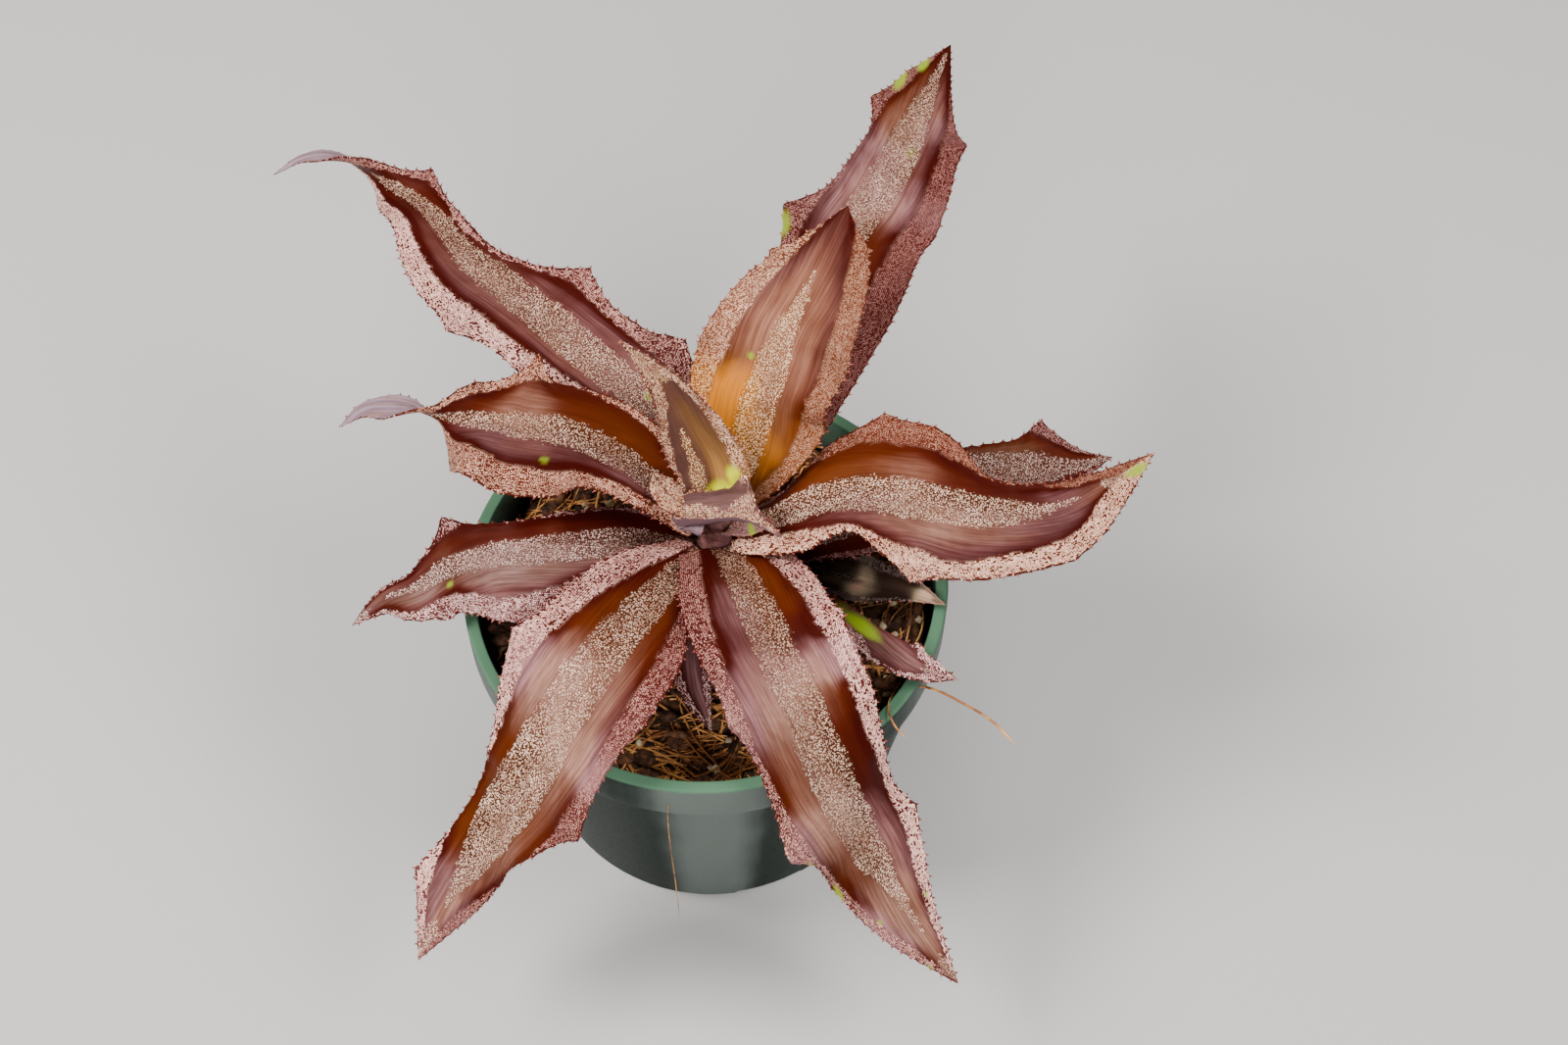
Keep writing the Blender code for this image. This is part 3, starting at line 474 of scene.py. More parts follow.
leafShapes = {
    "leaf_right_old": dict(
        height=76.5, kind="dry", midrib=[(25, 2, 81.5), (38, -3, 83.5), (48, -6, 84.5), (56, -10, 85.5)],
        left=(4, 6, 7, 5, 0), right=(4, 6, 6.5, 4, 0), liftLeft=(0, 1, 2, 1, 0), liftRight=(0, 1, 1, 1, 0),
        bandHigh=(3, 4, 4.5, 3, 0), stripeHigh=(1, 1, 0.5, 0, 0), stripeLow=(-1, -1, -0.5, 0, 0),
        bandLow=(-3, -4, -4.5, -3, 0), high=[(0, 0.1, 0), (0.5, 0.2, 0), (0.56, 0.8, 0), (0.63, 0.6, 0),
        (0.68, 0.1, 0), (0.82, 0.25, 0), (0.87, 1, 0)], low=[(0, 0.1, 0), (0.5, 0.4, 0), (0.56, 0.9, 0),
        (0.63, 0.6, 0), (0.7, 0.15, 0), (0.8, 0.2, 0), (0.86, 1, 0)], lit=(0.7, 0.8, 1), pitch=(0.5, 0.45),
        tipFrom=0.93),
    "leaf_front_small": dict(
        height=79.5, kind="low", midrib=[(-1, -10, 85), (-3, -22, 88), (-2, -32, 86), (2, -41, 81)],
        left=(3.5, 4, 4.5, 4, 0), right=(3.5, 4, 4.5, 4, 0), liftLeft=(0, 1, 1, 1, 0),
        liftRight=(0, 1, 1, 1, 0), bandHigh=(2, 3, 3.2, 2, 0), bandLow=(-2, -3, -3.2, -2, 0),
        high=[(0, 0.1, 0.1), (0.5, 0.15, 0.4), (1, 0.2, 0.7)], low=[(0, 0.05, 0), (0.6, 0.1, 0.4),
        (1, 0.2, 0.5)], lit=(0.8, 0.95, 1.1), pitch=(0.5, 0.45), tipFrom=0.93),
    "leaf_right_small": dict(
        height=79.2, kind="low", midrib=[(18, -4, 82.5), (30, -10, 86), (40, -19, 86.5), (48, -27, 87),
        (58, -31, 87)], left=(4, 4, 2, 1.2, 1.2, 1.4, 3, 3.5, 0),
        right=(4, 5, 6, 6.3, 6.5, 6.5, 5.5, 3.5, 0), liftLeft=(0, 1, 1, 1, 1, 0),
        liftRight=(0, 1, 1, 1, 1, 0), cuspsLeft=[(0.8, 1.5, 0.08)], cuspsRight=[(0.7, 1, 0.08)],
        bandHigh=(4, 4.5, 4.5, 4.5, 4.5, 4.5, 4.5, 4.5, 2.6, 0, 0),
        bandLow=(-2, -2, -2.2, -2.4, -2.6, -2.6, -2.8, -5.8, -4, 0, 0), high=[(0, 0.4, 0), (0.5, 0.4, 0.1),
        (0.66, 0.2, 0.3), (0.8, 0.2, 0.5)], low=[(0, 0.5, 0), (0.5, 0.6, 0.6), (0.66, 0.4, 0.5),
        (0.8, 0.2, 0.5)], paintedRimLight=(1, 1.05), lit=(0.8, 0.95, 1.1), pitch=(0.5, 0.45), tipFrom=0.86,
        spots=[(0.565, -0.8, 6.8, 2, 1), (0.46, -0.5, 3, 1.6, 0.4)]),
    "leaf_right_low": dict(
        height=82, kind="low", midrib=[(25, 11, 85), (43, 16, 87), (62, 22, 88), (79, 26, 87), (98, 33, 84)],
        left=(5, 8, 9, 9, 8, 0), right=(5, 9, 12, 12, 8, 0), liftLeft=(0, 1, 2, 3, 2, 0),
        cuspsLeft=[(0.83, 4.5, 0.12)], bandHigh=(4, 6.5, 7.5, 8, 8.3, 8.5, 8.8, 9.2, 10, 3.2, 0),
        stripeHigh=(3, 5, 6.5, 7, 7.2, 7.2, 7.2, 6.8, 5, 1.2, 0),
        stripeLow=(-3, -4, -5, -5, -5, -5, -5, -4.5, -3.5, -2.5, 0),
        bandLow=(-4, -7, -8, -9, -10, -10, -9, -8, -6, -3, 0), high=[(0, 0.3, 0), (0.6, 0.35, 0.1),
        (0.75, 0.45, 0.15), (0.85, 0.2, 0)], low=[(0, 0.1, 0), (0.8, 0.1, 0.1)], paintedRimLight=(0.7, 0.7),
        lit=(0.7, 0.8, 0.9), pitch=(0.47, 0.44), tipFrom=0.95),
    "leaf_left_low": dict(
        height=84, kind="low", midrib=[(-18, 5, 90), (-30, 3, 92), (-41, 3, 92), (-51, 3, 90), (-60, 1, 87),
        (-68, -3, 83), (-76, -4, 79), (-84, -8, 73)], left=(5, 10, 17.5, 23, 21.5, 18, 12, 5, 0),
        right=(5, 8, 9, 8, 5, 6, 4, 3, 0), liftLeft=(0, 1, 2, 2, 1, 2, 1, 0, 0),
        liftRight=(0, 1, 1, 1, 2, 3, 1, 0, 0), cuspsLeft=[(0.74, 2.5, 0.04)], cuspsRight=[(0.64, 3, 0.06)],
        bandHigh=(4, 6, 7.5, 9.5, 14.5, 15.5, 13, 8.7, 7.2, 2.6, 0),
        stripeHigh=(3, 4, 5, 5.2, 6.5, 7, 6, 4, 1.8, 0, 0),
        stripeLow=(-3, -3, -3, -2.8, -2, -0.8, -0.8, -1.3, -0.5, 0, 0),
        bandLow=(-4, -6, -8, -8, -6.6, -5, -6.2, -4.6, -3.2, -1.6, 0), high=[(0, 0.2, 0.1), (0.3, 0.3, 0.35),
        (0.5, 0.4, 0.65), (0.6, 0.35, 0.5), (0.68, 0.25, 0.15), (0.75, 0.4, 0.55), (0.86, 0.3, 0.2),
        (0.92, 0.3, 0.4)], low=[(0, 0, 0), (0.35, 0.05, 0), (0.38, 0.35, 0.1), (0.43, 0.1, 0),
        (0.62, 0.12, 0), (0.67, 0.35, 0.1), (0.75, 0.1, 0.1), (0.9, 0.3, 0.3)], paintedRimLight=(1.1, 0.8),
        lit=(0.5, 0.85, 1, 1), pitch=(0.52, 0.45), tipFrom=0.93, spots=[(0.69, 6.2, 1.5, 1, 0.6)]),
    "leaf_back_left": dict(
        height=88, kind="rosy", midrib=[(-13, 36, 102), (-21, 43, 107), (-32, 51, 111), (-43, 59, 114),
        (-55, 69, 115), (-66, 83, 115), (-78, 94, 113), (-92, 107, 108), (-103, 111, 104), (-111, 109, 100)],
        left=(4, 11, 18, 19, 17.5, 18.5, 15, 9, 4, 3, 0), right=(4, 8, 12, 10.5, 9.5, 4.5, 4, 5, 4, 3, 0),
        liftLeft=(0, 0, 0, 0, 1, 2, 1, 1, 0, 0, 0), liftRight=(0, 1, 2, 3, 3, 3, 2, 1, 0, 0, 0),
        roll=(0, 0, 0, 0, 0, 0, 0, 0, -80, -160, -175), cuspsLeft=[(0.47, 4.5, 0.05)],
        cuspsRight=[(0.23, 3, 0.05), (0.39, 3.5, 0.07), (0.7, 3, 0.06)],
        bandHigh=(5, 7, 9, 11, 12.3, 12, 9.8, 5.5, 1.2, 0.5, 0),
        stripeHigh=(4, 5, 6.5, 8, 6.8, 5.2, 4, 1.8, 0, 0, 0),
        stripeLow=(-3, -2.5, -2, -2.2, -2.8, -2.5, -1.2, -1.8, -0.5, 0, 0),
        bandLow=(-4, -6, -7.8, -7.2, -8.4, -3.8, -1.9, -5.2, -1.5, -0.5, 0), high=[(0, 0.1, 0.2),
        (0.3, 0.2, 0.35), (0.4, 0.2, 0.25), (0.5, 0.2, 0.35), (0.6, 0.2, 0.2), (0.68, 0.1, 0.05),
        (0.8, 0, 0)], low=[(0, 0.1, 0.4), (0.25, 0.15, 0.45), (0.3, 0.1, 0.3), (0.37, 0.1, 0.3),
        (0.4, 0, 0.1), (0.43, 0.1, 0.25), (0.48, 0, 0), (0.7, 0.15, 0), (0.8, 0, 0)], paintedRimLight=(1.7, 1),
        lit=(0.95, 0.85, 0.8), pitch=(0.44, 0.39), tipFrom=0.95, spots=[(0.205, -0.8, 1.4, 1.4, 0.5)]),
    "leaf_back_right": dict(
        height=86, kind="rosy", midrib=[(16, 28, 96), (27, 54, 108), (34, 74, 114), (41, 85, 117),
        (47, 98, 118), (54, 118, 117), (61, 140, 115)], left=(4, 6, 13.5, 16, 12.5, 10.5, 9.5, 0),
        right=(4, 9, 13, 17, 17.5, 13.5, 6, 0), liftLeft=(0, 1, 2, 2, 3, 2, 2, 0),
        liftRight=(0, 1, 1, 2, 2, 3, 1, 0), cuspsLeft=[(0.52, 4, 0.06), (0.8, 2.5, 0.06)],
        cuspsRight=[(0.58, 1, 0.05), (0.74, 2.5, 0.06)],
        bandHigh=(3, 4, 7, 9, 11, 12, 11.2, 10.6, 9.2, 4.6, 0.5),
        stripeHigh=(3, 3, 4, 5, 5.5, 6, 6, 5, 3.8, 1.5, 0),
        stripeLow=(-3, -3, -3, -3, -3, -3, -3.8, -4, -3, -1, 0),
        bandLow=(-3, -5, -6, -7, -8, -10, -10.5, -9, -7.4, -4, -0.8), high=[(0, 0.5, 0), (0.5, 0.1, 0.3),
        (0.56, 0.15, 0.6), (0.7, 0.15, 0.6), (0.78, 0.5, 0.35), (0.88, 0.35, 0.15), (0.95, 0.1, 0)],
        low=[(0, 0.4, 0), (0.48, 0.3, 0), (0.54, 0.25, 0), (0.6, 0.2, 0.7), (0.66, 0.15, 0.35),
        (0.7, 0.15, 0.15), (0.75, 0.15, 0.6), (0.82, 0.3, 0.4), (0.95, 0.05, 0)], paintedRimLight=(0.65, 0.45),
        lit=(0.7, 0.85, 0.9), pitch=(0.45, 0.4), spots=[(0.5, 16.5, 2.6, 2.2, 0.8),
        (0.87, 8.2, 4.6, 1.6, 0.8), (0.93, 4.6, 4, 1.7, 0.9), (0.72, -1.5, 2.5, 1.2, 0.2)]),
    "leaf_front_left": dict(
        height=89.5, kind="rosy", midrib=[(-11, -15, 97), (-21, -31, 100.5), (-30, -42, 95), (-41, -52, 78),
        (-51, -58, 61), (-60, -67, 48), (-67, -78, 38)], left=(8, 8, 18, 18.5, 18.5, 13, 9, 0),
        right=(8, 15.5, 17, 17, 11.5, 7.5, 8, 0), liftLeft=(1, 2, 4, 3, 2, 3, 2, 0),
        liftRight=(0, 1, 3, 3, 2, 2, 2, 0), cuspsLeft=[(0.37, 1, 0.06), (0.55, 5, 0.07)],
        cuspsRight=[(0.37, 2, 0.07), (0.86, 1.5, 0.06)],
        bandHigh=(3, 5, 9, 12, 13.5, 15.5, 16, 15, 9.8, 3.6, 0),
        stripeHigh=(3, 3.5, 5, 5.5, 6.2, 7.5, 9, 9, 5, 0.3, 0),
        stripeLow=(-3, -3.5, -4.5, -5, -5.5, -5.8, -6, -5.2, -2, 0.3, 0),
        bandLow=(-3, -6, -9, -11.5, -13, -11.5, -10, -8, -7.2, -3.5, 0), high=[(0.1, 0.2, 0), (0.2, 0.35, 0),
        (0.28, 0.4, 0.1), (0.35, 0.35, 0.45), (0.42, 0.35, 0.5), (0.47, 0.4, 1), (0.52, 0.4, 0.4),
        (0.62, 0.5, 0.2), (0.68, 0.5, 0.35), (0.74, 0.45, 0.3), (0.82, 0.25, 0.3), (0.88, 0.3, 0.65),
        (0.93, 0.3, 0.55)], low=[(0.08, 0.1, 0), (0.16, 0.2, 0), (0.24, 0.4, 0), (0.3, 0.45, 0.05),
        (0.34, 0.3, 0.55), (0.4, 0.3, 0.95), (0.45, 0.3, 0.7), (0.5, 0.45, 0.2), (0.54, 0.45, 0),
        (0.75, 0.45, 0), (0.8, 0.25, 0.15), (0.84, 0.15, 0.6), (0.9, 0.2, 0.6)], paintedRimLight=(0.62, 1.4),
        lit=(0.7, 0.8, 1, 1, 1), pitch=(0.5, 0.45), tipFrom=0.925),
    "leaf_front_right": dict(
        height=92.5, kind="rosy", midrib=[(9, -11, 99), (14, -27, 102.5), (22, -40, 96), (31, -52, 79),
        (39, -59, 62), (47, -70, 49), (59, -83, 36)], left=(8, 15.5, 16.5, 15, 12, 10.5, 6, 0),
        right=(11, 16, 17, 17, 18.5, 15, 9, 0), liftLeft=(0, 0, 2, 3, 2, 2, 1, 0),
        liftRight=(1.5, 2, 3, 2, 3, 3, 2, 0), cuspsLeft=[(0.28, 1, 0.05), (0.68, 1.5, 0.06)],
        cuspsRight=[(0.35, 2.4, 0.07), (0.56, 5, 0.06)],
        bandHigh=(4, 7.5, 11, 11, 10.5, 9.7, 9.5, 7.2, 5, 2.6, 0),
        stripeHigh=(3, 3, 4.8, 4.6, 4, 3.8, 3, 2, 1.2, 0.2, 0),
        stripeLow=(-3, -4.2, -4.2, -4.8, -6, -7.5, -8.8, -7, -2, 0.2, 0),
        bandLow=(-6, -9, -10.5, -13, -15.5, -15.5, -17, -13.5, -9.5, -4, 0), high=[(0.08, 0.3, 0),
        (0.15, 0.45, 0), (0.22, 0.35, 0), (0.27, 0, 0), (0.3, 0.1, 0.2), (0.33, 0.3, 0.95),
        (0.36, 0.3, 0.85), (0.4, 0.4, 0.15), (0.45, 0.25, 0), (0.5, 0.15, 0), (0.58, 0.1, 0),
        (0.64, 0.1, 0.35), (0.7, 0.2, 0.5), (0.78, 0.3, 0.6), (0.84, 0.4, 0.4), (0.9, 0.35, 0.7),
        (0.95, 0.3, 0.4)], low=[(0.05, 0, 0), (0.12, 0.05, 0.1), (0.16, 0.1, 0.35), (0.22, 0.1, 0.4),
        (0.25, 0, 0.1), (0.28, 0.15, 0.5), (0.34, 0.3, 0.8), (0.4, 0.3, 0.65), (0.46, 0.45, 0.35),
        (0.52, 0.5, 0.3), (0.56, 0.35, 0.95), (0.6, 0.4, 0.6), (0.66, 0.45, 0.25), (0.74, 0.45, 0.2),
        (0.8, 0.35, 0.75), (0.87, 0.35, 0.85), (0.93, 0.4, 0.4)], paintedRimLight=(1.6, 0.95),
        lit=(0.6, 0.72, 0.95, 1, 1), pitch=(0.5, 0.45), tipFrom=0.94, spots=[(0.735, -14.2, 4.5, 0.9, 0.8),
        (0.82, -8, 0.9, 0.7, 0.6), (0.83, 5.2, 0.9, 0.6, 0.7), (0.595, -19.6, 1.8, 0.8, 0.5),
        (0.94, -3.8, 1.6, 0.6, 0.5)]),
    "leaf_left": dict(
        height=94, kind="banded", midrib=[(-12, 14, 102), (-27, 20, 109), (-43, 21, 113), (-58, 24, 112.5),
        (-66, 27, 110.5), (-74, 31, 107), (-81, 33, 103), (-87, 31, 99)],
        left=(6, 8, 10, 13.5, 19.5, 20.5, 16, 3, 4.5, 3, 0),
        right=(7, 8.5, 12, 12.5, 12, 13, 10, 3, 4.5, 3, 0), liftLeft=(0, 0, 1, 2, 3, 3, 2, 0, 0, 0, 0),
        liftRight=(0, 0, 1, 2, 3, 4, 2, 0, 0, 0, 0), roll=(0, 0, 0, 0, 0, 0, 0, -90, -165, -175, -175),
        cuspsRight=[(0.47, 4, 0.06)], bandHigh=(4, 5, 6.5, 9, 12, 12, 7.5, 1, 0.5, 0.5, 0),
        stripeHigh=(3, 4.2, 3.5, 4, 3.5, 3, 2, 0.4, 0, 0, 0),
        stripeLow=(-2, -2, -2.8, -3.5, -4, -3.8, -2.2, -0.8, 0, 0, 0),
        bandLow=(-3, -5, -9.6, -11, -12, -11.2, -7, -1, -0.5, -0.5, 0), high=[(0.1, 0.05, 0.2),
        (0.2, 0.05, 0.3), (0.3, 0.05, 0.15), (0.38, 0.1, 0.2), (0.46, 0.15, 0.3), (0.55, 0.1, 0.4),
        (0.62, 0.1, 0.2), (0.66, 0, 0), (0.8, 0, 0)], low=[(0.1, 0.3, 0), (0.2, 0.45, 0), (0.34, 0.42, 0),
        (0.4, 0.35, 0.05), (0.44, 0.4, 0.35), (0.5, 0.45, 0.45), (0.56, 0.4, 0.2), (0.6, 0.25, 0),
        (0.66, 0.1, 0), (0.8, 0, 0)], paintedRimLight=(1.15, 1.15), lit=(0.85, 0.85, 0.85), pitch=(0.45, 0.42),
        tipFrom=0.9, spots=[(0.43, 9, 1.2, 1.2, 0.5)]),
    "leaf_right": dict(
        height=95, kind="banded", midrib=[(15, 4, 100.3), (32, 6, 108), (47, 4, 110), (63, 1, 108),
        (79, 3, 106), (91, 10, 105), (105, 21, 103)], left=(5, 7, 16, 16.5, 8, 6, 3, 0),
        right=(7, 12, 11, 21, 19, 14.5, 7, 0), liftLeft=(0, 0, 2, 5, 3, 2, 1, 0),
        liftRight=(0, 1, 0, 1, 2, 2, 1, 0), cuspsLeft=[(0.33, 2, 0.07)], cuspsRight=[(0.45, 3.5, 0.08),
        (0.7, 1.5, 0.05)], bandHigh=(3, 4.5, 9.5, 12.2, 12.1, 9.8, 6.7, 5.9, 2.2, 0, 0),
        stripeHigh=(3, 3, 3.8, 4, 4.2, 4, 3.3, 1.5, 0, 0, 0),
        stripeLow=(-3, -3.5, -4.5, -6, -6.8, -5.5, -4.2, -1.2, 0, 0, 0),
        bandLow=(-4, -5.5, -8, -9.5, -14.5, -16, -12.5, -10, -4, 0, 0), high=[(0.08, 0.1, 0), (0.15, 0.4, 0),
        (0.2, 0.5, 0), (0.32, 0.5, 0.1), (0.38, 0.45, 0.35), (0.43, 0.4, 0.25), (0.47, 0.2, 0.05),
        (0.56, 0.1, 0), (0.68, 0.05, 0.05), (0.74, 0.05, 0.35), (0.8, 0.2, 0.35), (0.84, 0.45, 0.25)],
        low=[(0.08, 0.1, 0), (0.2, 0.1, 0.1), (0.27, 0.1, 0.25), (0.38, 0.3, 0.4), (0.44, 0.35, 0.55),
        (0.52, 0.3, 0.5), (0.6, 0.25, 0.4), (0.66, 0.2, 0.4), (0.72, 0.05, 0.4), (0.78, 0.15, 0.35),
        (0.84, 0.45, 0.25)], paintedRimLight=(0.5, 1.4), lit=(0.9, 0.95, 0.95), pitch=(0.45, 0.44), tipFrom=0.84,
        spots=[(0.93, -1.6, 4.2, 1.7, 0.95)]),
    "leaf_back": dict(
        height=97, kind="golden", midrib=[(10, 19, 106), (12, 27, 114), (15, 33, 120), (18, 39, 126),
        (23, 46, 131), (27, 52, 136), (33, 62, 143)], left=(6, 9, 14, 17.5, 15.5, 12.5, 6.5, 0),
        right=(5, 11.5, 17, 17.5, 19, 16, 11.5, 0), liftLeft=(1, 2, 3, 3, 3, 2, 1, 0),
        liftRight=(1, 3, 3, 3, 3, 2, 1, 0), cuspsLeft=[(0.78, 1.5, 0.06)], cuspsRight=[(0.9, 2, 0.06)],
        bandHigh=(6, 7, 9, 11, 11, 10, 9, 8, 6, 3.7, 0.6),
        stripeHigh=(3, 3.5, 4.2, 4, 3.7, 2.8, 1.8, 0.8, 0, 0, 0),
        stripeLow=(-3, -3, -3.8, -4.7, -5, -4.6, -3.2, -1.5, 0, 0, 0),
        bandLow=(-4, -6, -9.5, -11.5, -12, -12.5, -12.3, -10.5, -8, -6, -2.5), high=[(0.2, 1, 0),
        (0.34, 1, 0.05), (0.42, 0.8, 0.35), (0.5, 0.55, 0.6), (0.6, 0.45, 0.65), (0.7, 0.35, 0.6),
        (0.8, 0.25, 0.45), (0.88, 0.15, 0.3), (1, 0, 0.1)], low=[(0.12, 0.7, 0.05), (0.2, 0.8, 0.15),
        (0.3, 0.65, 0.25), (0.38, 0.45, 0.35), (0.5, 0.4, 0.5), (0.6, 0.4, 0.5), (0.7, 0.4, 0.5),
        (0.8, 0.3, 0.4), (0.88, 0.1, 0.2), (1, 0, 0.05)], paintedRimLight=(0.95, 0.55), lit=(1.1, 1, 0.95),
        pitch=(0.42, 0.4), spots=[(0.468, 4.8, 1, 1, 0.8)]),
    "leaf_centre_front": dict(
        height=98.6, kind="young", midrib=[(-5.5, 0, 104), (0, -1.4, 107), (9, -2.2, 109.5),
        (18, -5.1, 107)], left=(3, 4.5, 5.6, 5.8, 5.8, 5.8, 5.8, 5, 1.8, 1.2, 0),
        right=(3, 3, 1.5, 0.5, 0.4, 0.4, 0.4, 0.4, 0.4, 0.3, 0), liftLeft=(0, 3, 4, 3, 0),
        liftRight=(0, 3, 2, 1, 0), cuspsLeft=[(0.7, 3.6, 0.08)], bandHigh=(3, 5, 7, 7, 7, 7, 7, 7, 4, 0, 0),
        bandLow=(0, 2.5, 4, 4.2, 4, 3.2, 2, 5, 8, 0, 0), high=[(0, 0.1, 0.6), (1, 0.1, 0.6)],
        low=[(0, 0.1, 0.6), (1, 0.1, 0.6)], lit=(1, 1), pitch=(0.37, 0.35), tipFrom=0.72),
    "leaf_centre": dict(
        height=101.6, kind="young", facing=(0, -1, 0.3), midrib=[(1, 12, 111), (-4, 16, 121),
        (-8.5, 19.5, 130), (-13, 22, 136), (-18, 24.5, 141)], left=(6, 7, 7, 4, 2, 0),
        right=(6, 9.7, 9.3, 7, 3.5, 0), liftLeft=(3, 3, 3, 2, 1, 0), liftRight=(3, 4, 3, 2, 1, 0),
        bandHigh=(5, 6.2, 6.5, 6.3, 5.2, 3.2, 1.4, 0.1, 0, 0, 0),
        stripeHigh=(5.2, 5, 4.5, 3.4, 2.3, 1, 1, 0, 0, 0, 0),
        stripeLow=(1, 1.2, 1.4, 1.4, 1, 1, 1, 0, 0, 0, 0),
        bandLow=(-5, -5.5, -5.5, -6, -6.3, -6, -5.2, -3.4, -0.8, 0, 0), high=[(0, 0.1, 0.15),
        (0.3, 0.1, 0.1), (0.6, 0.2, 0.05)], low=[(0, 1, 0), (0.15, 0.9, 0), (0.3, 0.7, 0), (0.5, 0.5, 0.1),
        (0.62, 0.3, 0), (0.7, 0.2, 0)], lit=(1, 1), pitch=(0.4, 0.37), tipFrom=0.71,
        spots=[(0.06, -2.8, 4.2, 4.7, 1), (0.15, -5.6, 3.4, 2.2, 0.9)]),
    "leaf_centre_front_fold": dict(
        added=True, height=98.6, kind="young", base=(3.5, 2.6, 106.2), midrib=[(-1.5, 3.4, 106.2),
        (-6, 5.4, 105.8), (-9.4, 9.2, 105.4), (-12, 14.2, 104.8)], left=(2, 2.6, 3.2, 3.6, 3.4, 2.6, 0),
        right=(2, 2.6, 3.2, 3.4, 3.2, 2.6, 0), liftLeft=(-0.6, -1, -1, -0.8, 0),
        liftRight=(0.5, 1, 1, 0.6, 0), cuspsLeft=[(0.3, 1.2, 0.06)], bandHigh=(0, 0), bandLow=(0, 0),
        high=[(0, 0.1, 0), (1, 0.1, 0)], low=[(0, 0.1, 0), (1, 0.1, 0)], paintedRimLight=(0.95, 0.95), lit=(0.95, 0.95),
        pitch=(0.39, 0.39)),
    "stem_sheath": dict(
        added=True, height=97, kind="low", midrib=[(5.5, 1.2, 99.8), (10, -0.6, 101.4), (16.5, 1.4, 102.6)],
        left=(3, 3, 3, 2.4, 0), right=(1, 1, 0.8, 0.5, 0), liftLeft=(0, 0.6, 0.6, 0), bandHigh=(0, 0),
        bandLow=(0, 0), high=[(0, 0.1, 0.8), (1, 0.1, 0.8)], low=[(0, 0.1, 0.8), (1, 0.1, 0.8)],
        lit=(0.75, 0.75), pitch=(0.4, 0.4), spots=[(0.62, 0.6, 0.9, 3, 0.9)]),
}


def stemRadius(height):
    # tapers straight from the soil's top to the stem's top
    share = (height - stemShape["soil"]) / (stemShape["top"] - stemShape["soil"])
    return stemShape["footRadius"] + (stemShape["topRadius"] - stemShape["footRadius"]) * np.clip(share, 0, 1)


def midribOf(leaf):
    # a smooth curve that starts on the stem's surface, towards its first point: points, run and length
    reach = stemRadius(leaf["height"]) + leafBuild["gap"] if leaf["height"] < stemShape["top"] else 1.0
    first, at = leaf["midrib"][0], stemShape["at"]
    turn = math.atan2(first[1] - at[1], first[0] - at[0])
    base = leaf.get("base", (at[0] + reach * math.cos(turn), at[1] + reach * math.sin(turn), leaf["height"]))
    dense = curveAt([base, *leaf["midrib"]], np.linspace(0, 1, 500))
    run = np.concatenate([[0.0], np.cumsum(np.linalg.norm(np.diff(dense, axis=0), axis=1))])
    return dense, run / run[-1], run[-1]


def cuspAt(cusps, t):
    # each cusp falls away as the square of the distance along the margin
    return sum((size * np.clip(1 - abs(t - where) / reach, 0, 1) ** 2 for where, size, reach in cusps),
               np.zeros_like(t))


def leafFrame(leaf, t):
    # the midrib's point at t, the way across to the left, and the way up, both turned by the leaf's roll
    dense, run = midribOf(leaf)[:2]

    def at(s):
        return np.stack([np.interp(s, run, dense[:, axis]) for axis in range(3)], -1)

    along = unit(at(np.clip(t + 0.015, 0, 1)) - at(np.clip(t - 0.015, 0, 1)))
    left = unit(np.cross(leaf["facing"], along))
    up = np.cross(along, left)
    roll = np.radians(listAt(leaf["roll"], t))[..., None]
    return at(t), left * np.cos(roll) + up * np.sin(roll), up * np.cos(roll) - left * np.sin(roll)


def leafSides(leaf, t):
    # half width and lift of the margin, to the left and to the right
    sides = []
    for side in ("Left", "Right"):
        cusp = cuspAt(leaf["cusps" + side], t)
        sides.append((listAt(leaf[side.lower()], t) + cusp, listAt(leaf["lift" + side], t) + 0.8 * cusp))
    return sides


def leafPoints(leaf, t, v, extra=0.0):
    # point = midrib + across (width v + extra) + up (lift |v|^2.2 + bulge), v from -1, right, to 1, left
    middle, across, up = leafFrame(leaf, t)
    (widthLeft, liftLeft), (widthRight, liftRight) = leafSides(leaf, t)
    width, lift = np.where(v >= 0, widthLeft, widthRight), np.where(v >= 0, liftLeft, liftRight)
    bulge = np.sin(math.pi * abs(v)) ** 2 * np.minimum(1, width / 10)
    return middle + across * (width * v + extra)[..., None] + up * (lift * abs(v) ** 2.2 + bulge)[..., None]


